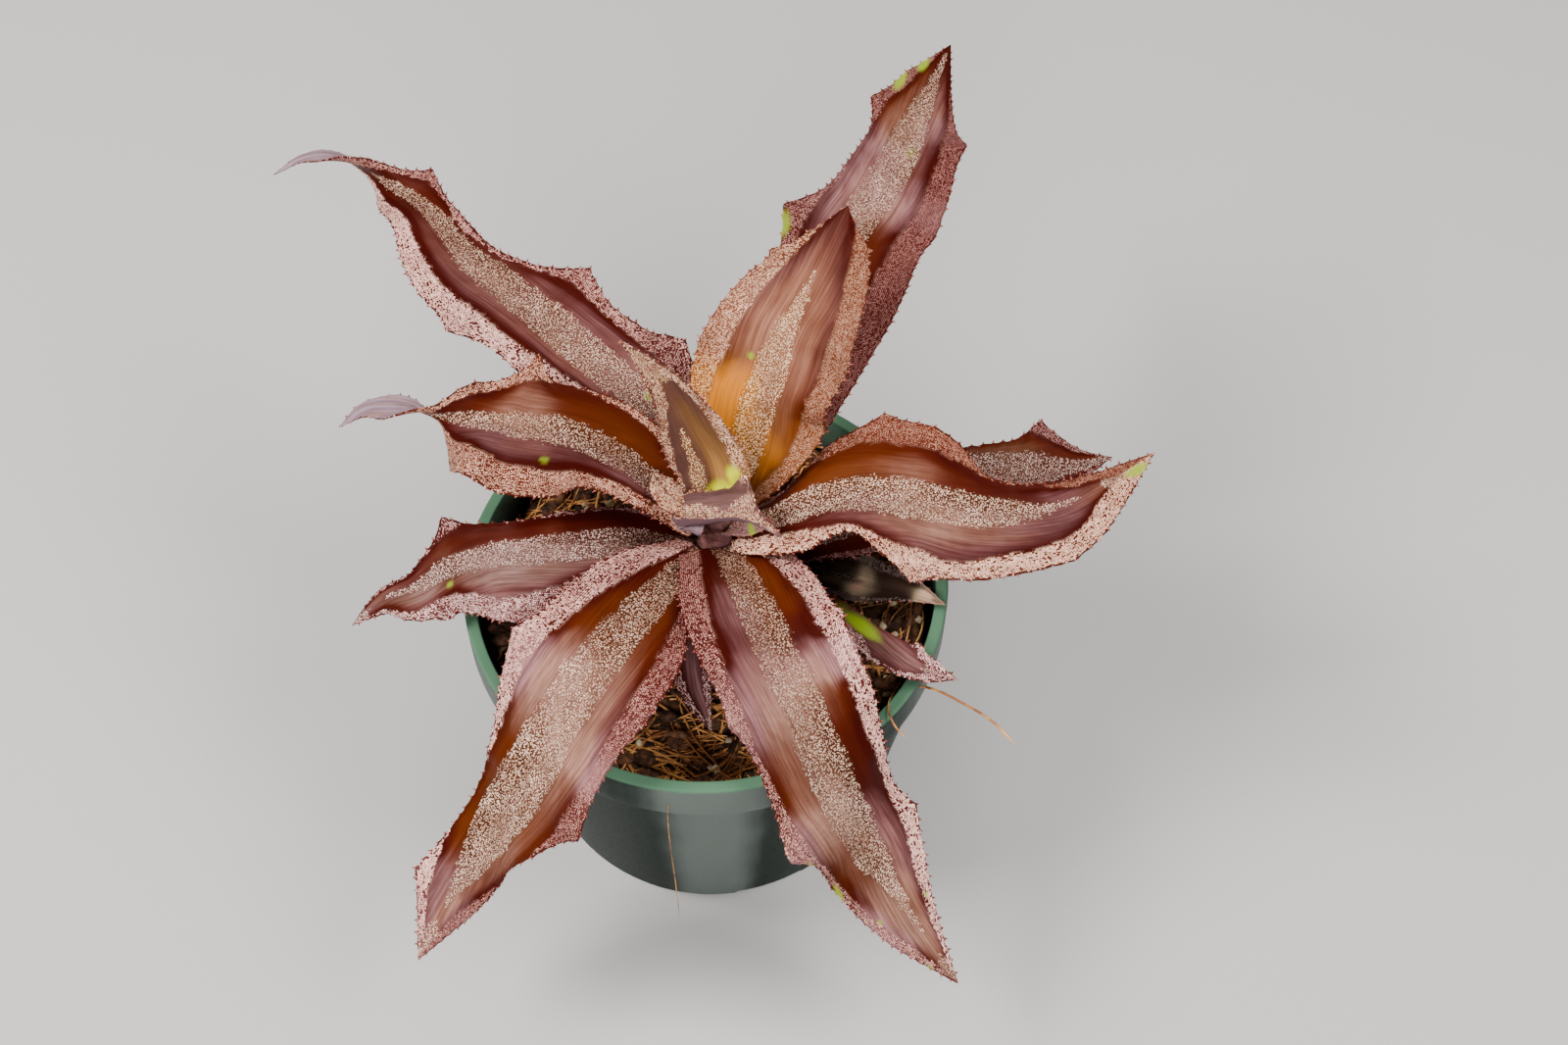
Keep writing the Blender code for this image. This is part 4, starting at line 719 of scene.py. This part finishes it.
def leafColours(leaf, t, x, width, length, seed):
    # masks from the signed lists: a point is scaly between the stripe's edges, outside the bands'
    # edges and beyond the tip's start, each edge wandering by less than a grain
    along, side = t * length, x >= 0
    near = waves(along, x, 3.2, seed + 1) * 0.28 + waves(along, x, 12.0, seed + 9) * 0.25
    bandHigh, bandLow = lineAt(leaf["bandHigh"], t), lineAt(leaf["bandLow"], t)
    high, low = lineAt(leaf["stripeHigh"], t), lineAt(leaf["stripeLow"], t)
    inStripe = smoothstep(-0.3, 0.3, x - low + near) * smoothstep(-0.3, 0.3, high - x + near)
    inStripe = inStripe * smoothstep(0.1, 0.9, high - low)
    inRim = np.maximum(smoothstep(-0.3, 0.3, x - bandHigh + near), smoothstep(-0.3, 0.3, bandLow - x + near))
    tip = smoothstep(-0.012, 0.012, t - leaf["tipFrom"] + 0.012 * near - 0.02 * abs(x) / np.maximum(width, 1))
    cover = np.clip(np.maximum(np.maximum(inStripe, inRim), tip), 0, 1)
    worn = 0.97 + 0.10 * np.minimum(waves(along, x, 9.0, seed + 7), 0.3)
    within = np.where(side, (x - high) / np.maximum(bandHigh - high, 0.5),
                      (x - low) / np.minimum(bandLow - low, -0.5))
    # towards the margin a band's colour deepens and its painted sheen fades, the less so the stronger they
    # are
    outer = smoothstep(0.40, 1.05, within)
    high, low = np.array(leaf["high"]).T, np.array(leaf["low"]).T
    at = t + 0.012 * waves(along, x, 11.0, seed + 2)
    # each list is read at five places round the point, which softens its steps, and the two sides
    # blend over the midrib
    around = at[..., None] + np.linspace(-0.018, 0.018, 5)
    leftward = smoothstep(-2.0, 2.0, x)
    tone, shine = (leftward * np.interp(around, high[0], high[row]).mean(-1)
                   + (1 - leftward) * np.interp(around, low[0], low[row]).mean(-1) for row in (1, 2))
    tone = tone * 1.08 - 0.5 * outer * (1 - tone) + 0.06 * waves(along, x * 2, 22.0, seed + 3)
    # painted sheen: faded towards the margin and waved into soft patches
    shine = (shine * 1.1 - 0.7 * outer * (1 - shine)) * (1 + 0.25 * waves(along * 0.6, x * 2, 8.0, seed + 4))
    fresh = np.zeros_like(t)
    for where, left, halfLong, halfWide, strength in leaf["spots"]:
        away = np.sqrt(((along - where * length) / halfLong) ** 2 + ((x - left) / halfWide) ** 2)
        fresh = np.maximum(fresh, strength * smoothstep(1.15, 0.45, away + 0.12 * near))
    rim = (inRim > 0.02) & (inStripe < 0.5)
    # painted light and shade on the grains: brighter or dimmer along the leaf and on each margin, in soft
    # waves
    lit = lineAt(leaf["lit"], t) * np.where(rim, np.where(side, *leaf["paintedRimLight"]), 1)
    lit = lit * (1 + 0.16 * waves(along * 0.7, x * 1.3, 13.0, seed + 6))
    # the very edge is barer and darker, and a power on the painted sheen makes faint sheens fainter
    cover = cover * (0.45 + 0.55 * smoothstep(0.0, 0.5, width - abs(x) + 0.25 * near))
    shine = np.clip(1.15 * np.maximum(shine, 0) ** 1.4, 0, 0.95)
    return dict(scale=cover * worn * 0.93, lines=rim, tone=tone, shine=shine, fresh=fresh,
                lit=np.clip(lit, 0.2, 1.5))


def leafSpines(top, under, normal, beat, rng):
    # one flat pyramid leaning to the tip on each crest of the scalloped margin
    rows, columns = beat.shape
    points, count = [], 0
    for side, column in ((-1, 0), (1, columns - 1)):
        crest = beat[:, column]
        at = np.where((crest[1:-1] < crest[:-2]) & (crest[1:-1] <= crest[2:]))[0] + 1
        at = at[(at > rows * 0.06) & (at < rows * 0.985)]
        edge = (top[at, column] + under[at, column]) / 2
        out = unit(top[at, column] - top[at, column - side * 3])
        forward = unit(top[np.minimum(at + 1, rows - 1), column] - top[at - 1, column])
        size = leafBuild["spine"] * rng.uniform(0.55, 1.35, (len(at), 1))
        inside, flat = edge - out * 0.4, normal[at, column] * 0.15
        ring = [inside - forward * 0.5, inside + flat, inside + forward * 0.5, inside - flat]
        if side < 0:
            ring = ring[::-1]
        points.append(np.stack([*ring, edge + (out * 0.85 + forward * 0.5) * size], 1).reshape(-1, 3))
        count += len(at)
    corners = np.array([(0, 1, 4), (1, 2, 4), (2, 3, 4), (3, 0, 4)])
    faces = (np.arange(count) * 5)[:, None, None] + corners
    return np.concatenate(points), faces.reshape(-1, 3)


def makeLeaf(name, leaf, seed):
    # a thin closed shell: the upper surface from leafPoints, the lower one a thickness below it
    length = midribOf(leaf)[2]
    rows, columns = int(length / leafBuild["row"]) + 2, leafBuild["columns"] + 1
    t = np.linspace(0, 0.9985, rows)[:, None] * np.ones(columns)
    v = np.sin(np.linspace(-1, 1, columns) * 1.3) / math.sin(1.3) * np.ones((rows, 1))
    widthLeft, widthRight = (side[0] for side in leafSides(leaf, t))
    width = np.where(v >= 0, widthLeft, widthRight)
    along, x = t * length, width * v
    # between two spines the margin draws in, as the sine of the run along it
    wander = waves(along, v * 3, 19.0, seed + 5) * 0.9 + np.sign(v) * 0.7
    beat = np.abs(np.sin(math.pi * (along + wander) / leafBuild["spineStep"]))
    edge = smoothstep(0.80, 1.0, abs(v)) * np.clip(width / 4, 0, 1)
    top = leafPoints(leaf, t, v, -np.sign(v) * edge * leafBuild["scallop"] * beat)
    up = leafFrame(leaf, t)[2]
    frill = waves(along, v * 4, 9.0, seed, 2) * leafBuild["frill"] * smoothstep(0.45, 1.0, abs(v))
    frill = frill + waves(along, x * 0.6, 13.0, seed + 8, 2) * leafBuild["ripple"]
    top = top + up * (frill * smoothstep(0, 0.08, t) * np.clip(width / 6, 0, 1))[..., None]
    normal = unit(np.cross(np.gradient(top, axis=0), np.gradient(top, axis=1)))
    thick = leafBuild["thin"] + (leafBuild["thick"] - leafBuild["thin"]) * (1 - abs(v) ** 2.5)
    under = top - normal * (thick * (0.35 + 0.65 * smoothstep(0, 3, width)))[..., None]

    colours = leafColours(leaf, t, x, width, length, seed)
    # the grains' map counts cells: the run along divided by the pitch, and across from the midrib or,
    # along the margins, in from the edge
    pitch = leaf["pitch"][0] + (leaf["pitch"][1] - leaf["pitch"][0]) * t
    cellsAlong = np.cumsum(length / (rows - 1) / pitch, axis=0) + seed * 3.7
    inward = np.sign(v) * (60 - (width - abs(x)))
    cells = np.stack([cellsAlong, np.where(colours["lines"], inward, x) / pitch], -1).reshape(-1, 2)
    flat = np.stack([along + seed, x], -1).reshape(-1, 2)

    count = rows * columns
    spinePoints, spineFaces = leafSpines(top, under, normal, beat, np.random.default_rng(seed))
    ring = np.concatenate([np.arange(columns), np.arange(1, rows) * columns + columns - 1,
                           (rows - 1) * columns + np.arange(columns - 2, -1, -1),
                           np.arange(rows - 2, 0, -1) * columns])
    after = np.roll(ring, -1)
    quads = [gridFaces(rows, columns), gridFaces(rows, columns, count)[:, ::-1],
             np.stack([ring, after, after + count, ring + count], -1)]
    kinds = np.repeat([0, 1, 0, 2], [*map(len, quads), len(spineFaces)])
    faces = np.concatenate(quads).tolist() + (spineFaces + 2 * count).tolist()
    blank = np.zeros((len(spinePoints), 2))
    points = np.concatenate([top.reshape(-1, 3), under.reshape(-1, 3), spinePoints])
    piece = makeMesh(name + "_blade", points, faces, [*leafFinishes[leaf["kind"]], spineFinish], kinds,
                     dict(flatMap=np.concatenate([flat, flat, blank]),
                          grainMap=np.concatenate([cells, cells, blank])),
                     {key: np.concatenate([value.ravel(), value.ravel(), blank[:, 0]])
                      for key, value in colours.items()})
    if "added" not in leaf:
        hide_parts(name)
    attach(piece, "root")


for number, (leafName, leafShape) in enumerate(leafShapes.items()):
    makeLeaf(leafName, {**leafBasics, **leafShape}, 100 + 17 * number)
print("leaves made:", len(leafShapes))


potShape = dict(height=82, rim=57.15, bandHeight=12.5, bandFoot=56.6, wallTop=54.9, foot=43.3, wall=1.3,
                lip=3, floor=3, turns=224, notches=4, notchTurn=-70, notchHalf=8.5, notchIn=30.3,
                notchRise=1.8)
# hazes are where the wall has gone grey, as (degrees round, half width, strength): dust all round, and the
# first, at the front, dust with a painted pool of light between the leaves' shadows; bandFrom, lipFrom
# and greenFrom are heights and innerFrom a radius where a finish starts and is full
potLook = dict(wall=(0.003, 0.010, 0.006), haze=(0.120, 0.145, 0.130), lip=(0.078, 0.170, 0.100),
               roughness=0.38, specular=0.04, bandFrom=(68.8, 70), lipFrom=(81.1, 81.7),
               innerFrom=(54.5, 54.3), greenFrom=(70, 76),
               hazesAndPaintedLight=[(-89, 13, 1), (-62, 5, 0.2), (-20, 14, 0.45), (25, 10, 0.3), (70, 16, 0.5),
                      (118, 9, 0.4), (160, 14, 0.45), (-150, 12, 0.4)])


def wallRadius(z):
    # the outside of the wall tapers straight from the rim band's foot to the pot's foot
    share = z / (potShape["height"] - potShape["bandHeight"])
    return potShape["foot"] + (potShape["wallTop"] - potShape["foot"]) * share


def turnedGrid(profile, turns, at=(0.0, 0.0)):
    # (radius, height) carried round the upright axis: rows along the profile, columns round it
    radius, z = np.array(profile).T[..., None]
    angle = np.arange(turns) * 2 * math.pi / turns
    return np.stack([at[0] + radius * np.cos(angle), at[1] + radius * np.sin(angle), z + 0 * angle], -1)


def rounded(start, corner, end, steps=6):
    # a quarter turn from start to end that leaves towards corner: a curve of the second degree
    s = np.linspace(0, 1, steps)[:, None]
    start, corner, end = map(np.array, (start, corner, end))
    return ((1 - s) ** 2 * start + 2 * s * (1 - s) * corner + s**2 * end).tolist()


def plasticMaterial(look):
    # moulded plastic: the lip is brighter, the wall greys where the haze value says, which is dust and, at
    # the front, painted light, with soft streaks up it, and fine dust roughens it
    material, tree, inputs = newMaterial("potPlastic", look["roughness"], look["specular"])
    where = stretched(tree, objectPlace(tree), (1 / mm, 1 / mm, 1 / mm))
    split = addNode(tree, "ShaderNodeSeparateXYZ")
    feed(tree, split.inputs[0], where)
    streaks = noiseNode(tree, stretched(tree, where, (0.21, 0.21, 0.009)), 1.0, 2.0)
    dust = noiseNode(tree, where, 1.5, 2.0)
    band = mapRange(tree, split.outputs[2], *look["bandFrom"], 0.0, 0.30)
    haze = mathNode(tree, "MULTIPLY_ADD", streaks, 0.45, -0.31)
    haze = mathNode(tree, "ADD", haze, mathNode(tree, "ADD", band, attribute(tree, "haze")))
    haze = mathNode(tree, "MULTIPLY_ADD", dust, 0.20, mathNode(tree, "SUBTRACT", haze, 0.10))
    wall = mixColour(tree, mapRange(tree, haze, 0.0, 1.0), look["wall"], look["haze"])
    lip = mapRange(tree, split.outputs[2], *look["lipFrom"])
    inner = addNode(tree, "ShaderNodeVectorMath", operation="LENGTH")
    feed(tree, inner.inputs[0], stretched(tree, where, (1.0, 1.0, 0.0)))
    inside = mathNode(tree, "MULTIPLY", mapRange(tree, inner.outputs["Value"], *look["innerFrom"]),
                      mapRange(tree, split.outputs[2], *look["greenFrom"]))
    green = mathNode(tree, "MAXIMUM", lip, mathNode(tree, "MULTIPLY", inside, 0.55))
    feed(tree, inputs["Base Color"], mixColour(tree, green, wall, look["lip"]))
    feed(tree, inputs["Roughness"], mathNode(tree, "MULTIPLY_ADD", dust, 0.2, look["roughness"] - 0.08))
    addBump(tree, inputs, mathNode(tree, "MULTIPLY_ADD", dust, 0.3, streaks), 0.2, 0.0002)
    return material


def makePot(shape):
    # the wall and floor as one turned shell, each ring its radius and height; four notches lift the foot
    band, outer, inner = shape["height"] - shape["bandHeight"], shape["rim"], shape["rim"] - shape["lip"]
    wall, high, bandFoot = shape["wall"], shape["height"], shape["bandFoot"]
    profile = [(radius, shape["floor"]) for radius in (0.02, 20, 30, 42)]
    corner = wallRadius(3) - wall
    profile += rounded((corner - 1, 3), (corner, 3), (wallRadius(4.5) - wall, 4.5), 4)
    profile += [(wallRadius(z) - wall, z) for z in np.linspace(6, band, 14)]
    profile += [(inner - 0.1, band + 2), (inner, high - 5), (inner, high - 0.6)]
    profile += rounded((inner, high - 0.6), (inner, high), (inner + 0.6, high))
    profile += [(outer - 1.5, high)] + rounded((outer - 0.9, high), (outer, high), (outer, high - 0.9))
    profile += [(outer - 0.05 * step, high - 0.9 - 2.3 * step) for step in range(1, 5)]
    profile += rounded((bandFoot, band + 0.7), (bandFoot, band), (bandFoot - 0.7, band))
    below = (wallRadius(band - 0.5), band - 0.5)
    profile += rounded((wallRadius(band) + 0.3, band), (wallRadius(band), band), below, 3)
    profile += [(wallRadius(z), z) for z in (*np.linspace(band - 4, 3.0, 20), 2.4, 1.9, 1.7, 1.2)]
    profile += rounded((wallRadius(0.8), 0.8), (shape["foot"], 0), (shape["foot"] - 0.9, 0), 4)
    profile += [(radius, 0) for radius in (42, 40, 36, 31.5, 30.5, 30.1, 28, 18, 8, 0.02)]
    points = turnedGrid(profile, shape["turns"])
    x, y, z = np.moveaxis(points, -1, 0).copy()
    angle, radius = np.arctan2(y, x), np.hypot(x, y)
    for index in range(shape["notches"]):
        turn = math.radians(shape["notchTurn"] + index * 360 / shape["notches"])
        aside = abs(np.sin(angle - turn)) * radius
        within = (aside < shape["notchHalf"]) & (np.cos(angle - turn) > 0) & (radius > shape["notchIn"])
        z = np.where(within & (z < shape["notchRise"] + 0.01), shape["notchRise"], z)
    # the haze value: greying dust round the wall, and at the front a painted pool of light
    haze = np.zeros_like(x)
    for turn, wide, strength in potLook["hazesAndPaintedLight"]:
        away = (np.degrees(angle) - turn + 2.5 * waves(z, 0 * z, 60.0, 7) + 180) % 360 - 180
        haze = np.maximum(haze, strength * smoothstep(1.5, 0.3, abs(away) / wide))
    faces = gridFaces(len(profile), shape["turns"], wrap=True).tolist()
    finish = plasticMaterial(potLook)
    return makeMesh("nursery_pot", np.stack([x, y, z], -1), faces, [finish], values=dict(haze=haze))


pot = makePot(potShape)
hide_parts("pot")
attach(pot, "root")
print("pot made")


# chips and bits are (how many, smallest size, largest size, seed, reach from the middle, share sunk);
# the dip is (where it starts, where it ends, depth)
soilShape = dict(top=72.5, bottom=3.4, lump=1.3, rings=90, turns=300, crumb=0.55, dip=(50.5, 53.2, 3.2),
                 wallFrom=66, chips=(520, (2, 1.4, 0.8), (7.5, 4.6, 2.8), 41, 51, 0.25),
                 bits=(110, (1, 0.9, 0.7), (3, 2.2, 1.8), 42, 51.5, 0.7))
# pairs are least and most; frontShare of the straws lie at the front, frontFrom or more from the middle
strawShape = dict(count=560, seed=43, steps=9, reach=51, edge=52.3, frontShare=0.22, frontFrom=30,
                  frontSpread=0.45, turnSpread=0.75, long=(5, 26), bend=0.10, rise=(0.1, 1.5),
                  tilt=(-1.6, 1.6), sunk=0.3, radius=(0.12, 0.34))
soilLook = dict(dark=(0.020, 0.011, 0.006), light=(0.120, 0.056, 0.028), roughness=0.95)
chipLook = dict(dark=(0.030, 0.013, 0.007), light=(0.190, 0.080, 0.038), grey=(0.200, 0.150, 0.110),
                roughness=0.85)
strawLook = dict(dark=(0.240, 0.080, 0.022), light=(0.850, 0.400, 0.120), roughness=0.6)
bitLook = dict(dark=(0.300, 0.210, 0.110), light=(0.620, 0.520, 0.330), roughness=0.8)


def soilLump(x, y):
    # low lumps over the soil's top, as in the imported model
    return soilShape["lump"] * (0.5 * np.sin(0.31 * x + 1.0) * np.cos(0.27 * y)
                                + 0.35 * np.sin(0.19 * x - 0.36 * y + 2.1)
                                + 0.25 * np.cos(0.55 * x + 0.41 * y + 0.4))


def soilHeight(x, y):
    # the top's level, its lumps, crumbs of two sizes, and a dip towards the wall
    crumbs = waves(x, y, 5.0, 31) * soilShape["crumb"] + waves(x, y, 1.6, 32, 2) * soilShape["crumb"] * 0.45
    start, end, depth = soilShape["dip"]
    dip = depth * smoothstep(start, end, np.hypot(x, y))
    return soilShape["top"] + soilLump(x, y) + crumbs - dip


def earthMaterial(name, look, scale, relief):
    # two colours mixed by patch and grain, rough, with the grain in relief
    material, tree, inputs = newMaterial(name, look["roughness"], 0.25)
    grain = placeGroup(tree, earthGrain, Vector=objectPlace(tree), Scale=scale)
    mix = mathNode(tree, "MULTIPLY_ADD", grain["Patch"], 0.7, mathNode(tree, "MULTIPLY", grain["Grain"], 0.5))
    colour = mixColour(tree, mapRange(tree, mix, 0.48, 0.72), look["dark"], look["light"])
    if "grey" in look:
        colour = mixColour(tree, mapRange(tree, grain["Patch"], 0.60, 0.72, 0.0, 0.7), colour, look["grey"])
    feed(tree, inputs["Base Color"], colour)
    addBump(tree, inputs, grain["Grain"], 0.8, relief)
    return material


def makeSoil():
    # a closed ring of rows: over the top from the stem's hole to the wall, down the wall, in under
    # the soil, and up the hole; between rows it moves from a circle round the stem to one round the pot
    angle = np.arange(soilShape["turns"]) * 2 * math.pi / soilShape["turns"]
    at, hole, bottom = stemShape["at"], stemShape["footRadius"] + leafBuild["gap"], soilShape["bottom"]
    edge, foot = wallRadius(67.5) - 2.25, wallRadius(3.35) - 1.65
    share = np.linspace(0, 1, soilShape["rings"])[:, None]
    circle = np.stack([np.cos(angle), np.sin(angle)], -1)
    inner, outer = np.array(at) + hole * circle, edge * circle
    flat = inner + (outer - inner) * share[..., None]
    top = np.concatenate([flat, soilHeight(flat[..., 0], flat[..., 1])[..., None]], -1)
    down = [np.c_[circle * radius, np.full(len(angle), z)] for radius, z in
            ((edge, soilShape["wallFrom"]), (wallRadius(40) - 1.7, 40.0), (foot, bottom))]
    up = [np.c_[inner, np.full(len(angle), z)] for z in (bottom, 60.0)]
    points = np.concatenate([top, np.array(down), np.array(up), top[:1]])
    faces = gridFaces(len(points), soilShape["turns"], wrap=True)[:, ::-1].tolist()
    return makeMesh("potting_soil", points, faces, [earthMaterial("soilCrumb", soilLook, 1100.0, 0.0006)])


def lumpSet(count, low, high, seed, reach, sink):
    # many small lumps: each a ball of 6 by 8 points squared off, stretched, roughened and turned,
    # set on the soil with part of it sunk
    rng = np.random.default_rng(seed)
    up = np.linspace(0, math.pi, 6)[:, None]
    angle = np.arange(8) * math.pi / 4
    ball = np.stack([np.sin(up) * np.cos(angle), np.sin(up) * np.sin(angle), np.cos(up) + 0 * angle], -1)
    ball = np.sign(ball) * abs(ball) ** 0.75
    size = rng.uniform(low, high, (count, 1, 1, 3)) / 2
    points = ball * size * (1 + rng.uniform(-0.16, 0.16, (count, 6, 8, 1)) * (np.sin(up) > 0.1)[..., None])
    tilt, turn = rng.uniform(-0.5, 0.5, (count, 1, 1)), rng.uniform(0, 2 * math.pi, (count, 1, 1))
    x, y, z = np.moveaxis(points, -1, 0)
    x, z = x * np.cos(tilt) + z * np.sin(tilt), z * np.cos(tilt) - x * np.sin(tilt)
    x, y = x * np.cos(turn) - y * np.sin(turn), x * np.sin(turn) + y * np.cos(turn)
    away, where = np.sqrt(rng.uniform(0.03, 1, count)) * reach, rng.uniform(0, 2 * math.pi, count)
    cx, cy = away * np.cos(where), away * np.sin(where)
    centre = np.stack([cx, cy, soilHeight(cx, cy) + size[:, 0, 0, 2] * sink], -1)
    points = np.stack([x, y, z], -1) + centre[:, None, None]
    faces = (gridFaces(6, 8, wrap=True)[None] + (np.arange(count) * 48)[:, None, None]).reshape(-1, 4)
    return points.reshape(-1, 3), faces.tolist()


def tubes(paths, radius, sides=5):
    # a round profile carried along each path, (count, steps, 3), thinning to a point at both ends
    count, steps = paths.shape[:2]
    along = unit(np.gradient(paths, axis=1))
    first = unit(np.cross(along, np.array([0.13, 0.21, 0.97])))
    second = np.cross(along, first)
    angle = np.arange(sides) * 2 * math.pi / sides
    s = np.linspace(0, 1, steps)
    thin = np.clip(np.minimum(s, 1 - s) * 12, 0.02, 1)[:, None, None] * np.reshape(radius, (-1, 1, 1, 1))
    ring = first[:, :, None] * np.cos(angle)[:, None] + second[:, :, None] * np.sin(angle)[:, None]
    points = paths[:, :, None] + ring * thin
    faces = gridFaces(steps, sides, wrap=True)[None] + (np.arange(count) * steps * sides)[:, None, None]
    return points.reshape(-1, 3), faces.reshape(-1, 4)[:, ::-1].tolist()


def strawPaths(shape):
    # straws lie on the soil, bent a little in plan and lifted at one end, most of them along the wall
    rng, count = np.random.default_rng(shape["seed"]), shape["count"]
    s = np.linspace(-0.5, 0.5, shape["steps"])[None, :, None]
    away = np.sqrt(rng.uniform(0.05, 1, count)) * shape["reach"]
    where = rng.uniform(0, 2 * math.pi, count)
    front = rng.random(count) < shape["frontShare"]
    away = np.where(front, shape["frontFrom"] + away * 0.42, away)
    where = np.where(front, rng.normal(-1.57, shape["frontSpread"], count), where)
    centre = np.stack([away * np.cos(where), away * np.sin(where)], -1)[:, None]
    turn = where + math.pi / 2 + rng.normal(0, shape["turnSpread"], count)
    way = np.stack([np.cos(turn), np.sin(turn)], -1)[:, None]
    side = np.stack([-way[..., 1], way[..., 0]], -1)
    length = rng.uniform(*shape["long"], (count, 1, 1))
    bend = rng.normal(0, shape["bend"], (count, 1, 1))
    flat = centre + way * s * length + side * (bend * length * (s**2 * 4 - 0.5))
    far = np.linalg.norm(flat, axis=-1, keepdims=True)
    flat = flat * np.minimum(1, shape["edge"] / np.maximum(far, 1e-6))
    rise = rng.uniform(*shape["rise"], (count, 1)) + rng.uniform(*shape["tilt"], (count, 1)) * s[..., 0]
    ground = soilHeight(flat[..., 0], flat[..., 1])
    z = np.maximum(ground.mean(1, keepdims=True) + rise, ground - shape["sunk"])
    return np.concatenate([flat, z[..., None]], -1), rng.uniform(*shape["radius"], count)


soil = makeSoil()
chipFinish = earthMaterial("barkChip", chipLook, 700.0, 0.0004)
chips = makeMesh("bark_chips", *lumpSet(*soilShape["chips"]), [chipFinish])
bitFinish = earthMaterial("paleBit", bitLook, 900.0, 0.0003)
bits = makeMesh("pale_bits", *lumpSet(*soilShape["bits"]), [bitFinish])
strawFinish = earthMaterial("coirStraw", strawLook, 500.0, 0.0001)
straws = makeMesh("coir_straws", *tubes(*strawPaths(strawShape)), [strawFinish])
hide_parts("soil")
for piece in (soil, chips, bits, straws):
    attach(piece, "root")
print("potting mix made")


# long loose fibres: each one's radius and the points along it
fibreShapes = dict(
    rim_fibre=(0.30, [(46, -24, 74), (49, -26.9, 77.5), (53, -30.5, 81.6), (57.5, -33.9, 83.2),
                      (65.1, -38.8, 82.6), (71.3, -44, 79.5)]),
    bent_fibre=(0.24, [(46, -23, 74), (43.8, -29, 78), (42.3, -34, 81.6), (42.3, -37.5, 83),
                       (43.7, -40.9, 82.9), (46.1, -43.1, 81.5)]),
    hanging_hair=(0.10, [(-7.6, -57.3, 78), (-8, -57.6, 70), (-7.9, -57.4, 55), (-7.4, -57.8, 38),
                         (-7, -58.6, 20)]))
stemLook = dict(dark=(0.060, 0.018, 0.016), light=(0.210, 0.085, 0.080), roughness=0.7)


def makeStem():
    # a tapered rod with a low ring every 4 mm where an old leaf has dropped
    foot, top = stemShape["foot"], stemShape["top"]
    z = np.concatenate([[foot, foot], np.linspace(foot + 0.3, top - 0.8, 90), [top - 0.2, top]])
    rings = 0.35 * abs(np.sin(math.pi * (top - z) / 4)) ** 0.35 - 0.35
    radius = stemRadius(z) + rings * (z > stemShape["soil"])
    radius[:2], radius[-2:] = (0.02, stemShape["footRadius"]), (stemShape["topRadius"] - 0.6, 0.02)
    points = turnedGrid(np.stack([radius, z], -1), 64, stemShape["at"])
    faces = gridFaces(len(z), 64, wrap=True)[:, ::-1].tolist()
    return makeMesh("short_stem", points, faces, [earthMaterial("stemBark", stemLook, 600.0, 0.0003)])


stem = makeStem()
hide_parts("stem")
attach(stem, "root")
for fibreName, (radius, route) in fibreShapes.items():
    path = curveAt(route, np.linspace(0, 1, 40))
    fibre = makeMesh(fibreName, *tubes(path[None], radius, 8), [strawFinish])
    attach(fibre, "root")
print("stem and fibres made")


# sizes and places here are in metres, the lens and the sensor in millimetres
stageShape = dict(size=3.0, colour=(0.53, 0.526, 0.517), roomColour=(0.97, 0.98, 1.0), roomStrength=0.10,
                  aim=(0.0, 0.0, 0.09))
viewShape = dict(place=(0.0184, -0.3222, 0.5890), downward=56.35, lens=58.5, sensor=36.0, clip=(0.01, 20.0))
floorMaterial, floorTree, floorInputs = newMaterial("paleFloor", 0.85, 0.2)
feed(floorTree, floorInputs["Base Color"], stageShape["colour"])
half = stageShape["size"] / mm / 2
floor = makeMesh("floor", [(-half, -half, 0), (half, -half, 0), (half, half, 0), (-half, half, 0)],
                 [[0, 1, 2, 3]], [floorMaterial])

lights = [  # name, place in metres, size, watts, colour
    ("leftLight", (-0.72, -0.12, 0.98), 0.45, 20.0, (1.0, 0.97, 0.94)),
    ("rightLight", (0.66, -0.20, 0.95), 0.45, 10.5, (1.0, 0.98, 0.96)),
    ("frontLight", (-0.05, -1.00, 0.80), 0.50, 10.0, (1.0, 1.0, 1.0)),
    ("backLight", (0.10, 0.80, 1.00), 0.50, 2.5, (1.0, 1.0, 1.0)),
]
for lightName, place, size, watts, colour in lights:
    data = bpy.data.lights.new(lightName, "AREA")
    data.shape, data.size, data.energy, data.color = "SQUARE", size, watts, colour
    lamp = bpy.data.objects.new(lightName, data)
    scene.collection.objects.link(lamp)
    aim = unit(np.array(stageShape["aim"]) - np.array(place))
    lamp.location = place
    lamp.rotation_euler = (math.acos(-aim[2]), 0, math.atan2(aim[1], aim[0]) - math.pi / 2)

world = bpy.data.worlds.new("softRoom")
world.use_nodes = True
feed(world.node_tree, world.node_tree.nodes["Background"].inputs["Color"], stageShape["roomColour"])
world.node_tree.nodes["Background"].inputs["Strength"].default_value = stageShape["roomStrength"]
scene.world = world

cameraData = bpy.data.cameras.new("photoView")
cameraData.sensor_fit, cameraData.sensor_width = "HORIZONTAL", viewShape["sensor"]
cameraData.lens = viewShape["lens"]
cameraData.clip_start, cameraData.clip_end = viewShape["clip"]
camera = bpy.data.objects.new("photoView", cameraData)
camera.location = viewShape["place"]
camera.rotation_euler = (math.radians(90 - viewShape["downward"]), 0.0, 0.0)
scene.collection.objects.link(camera)
scene.camera = camera
print("stage, light and camera set")
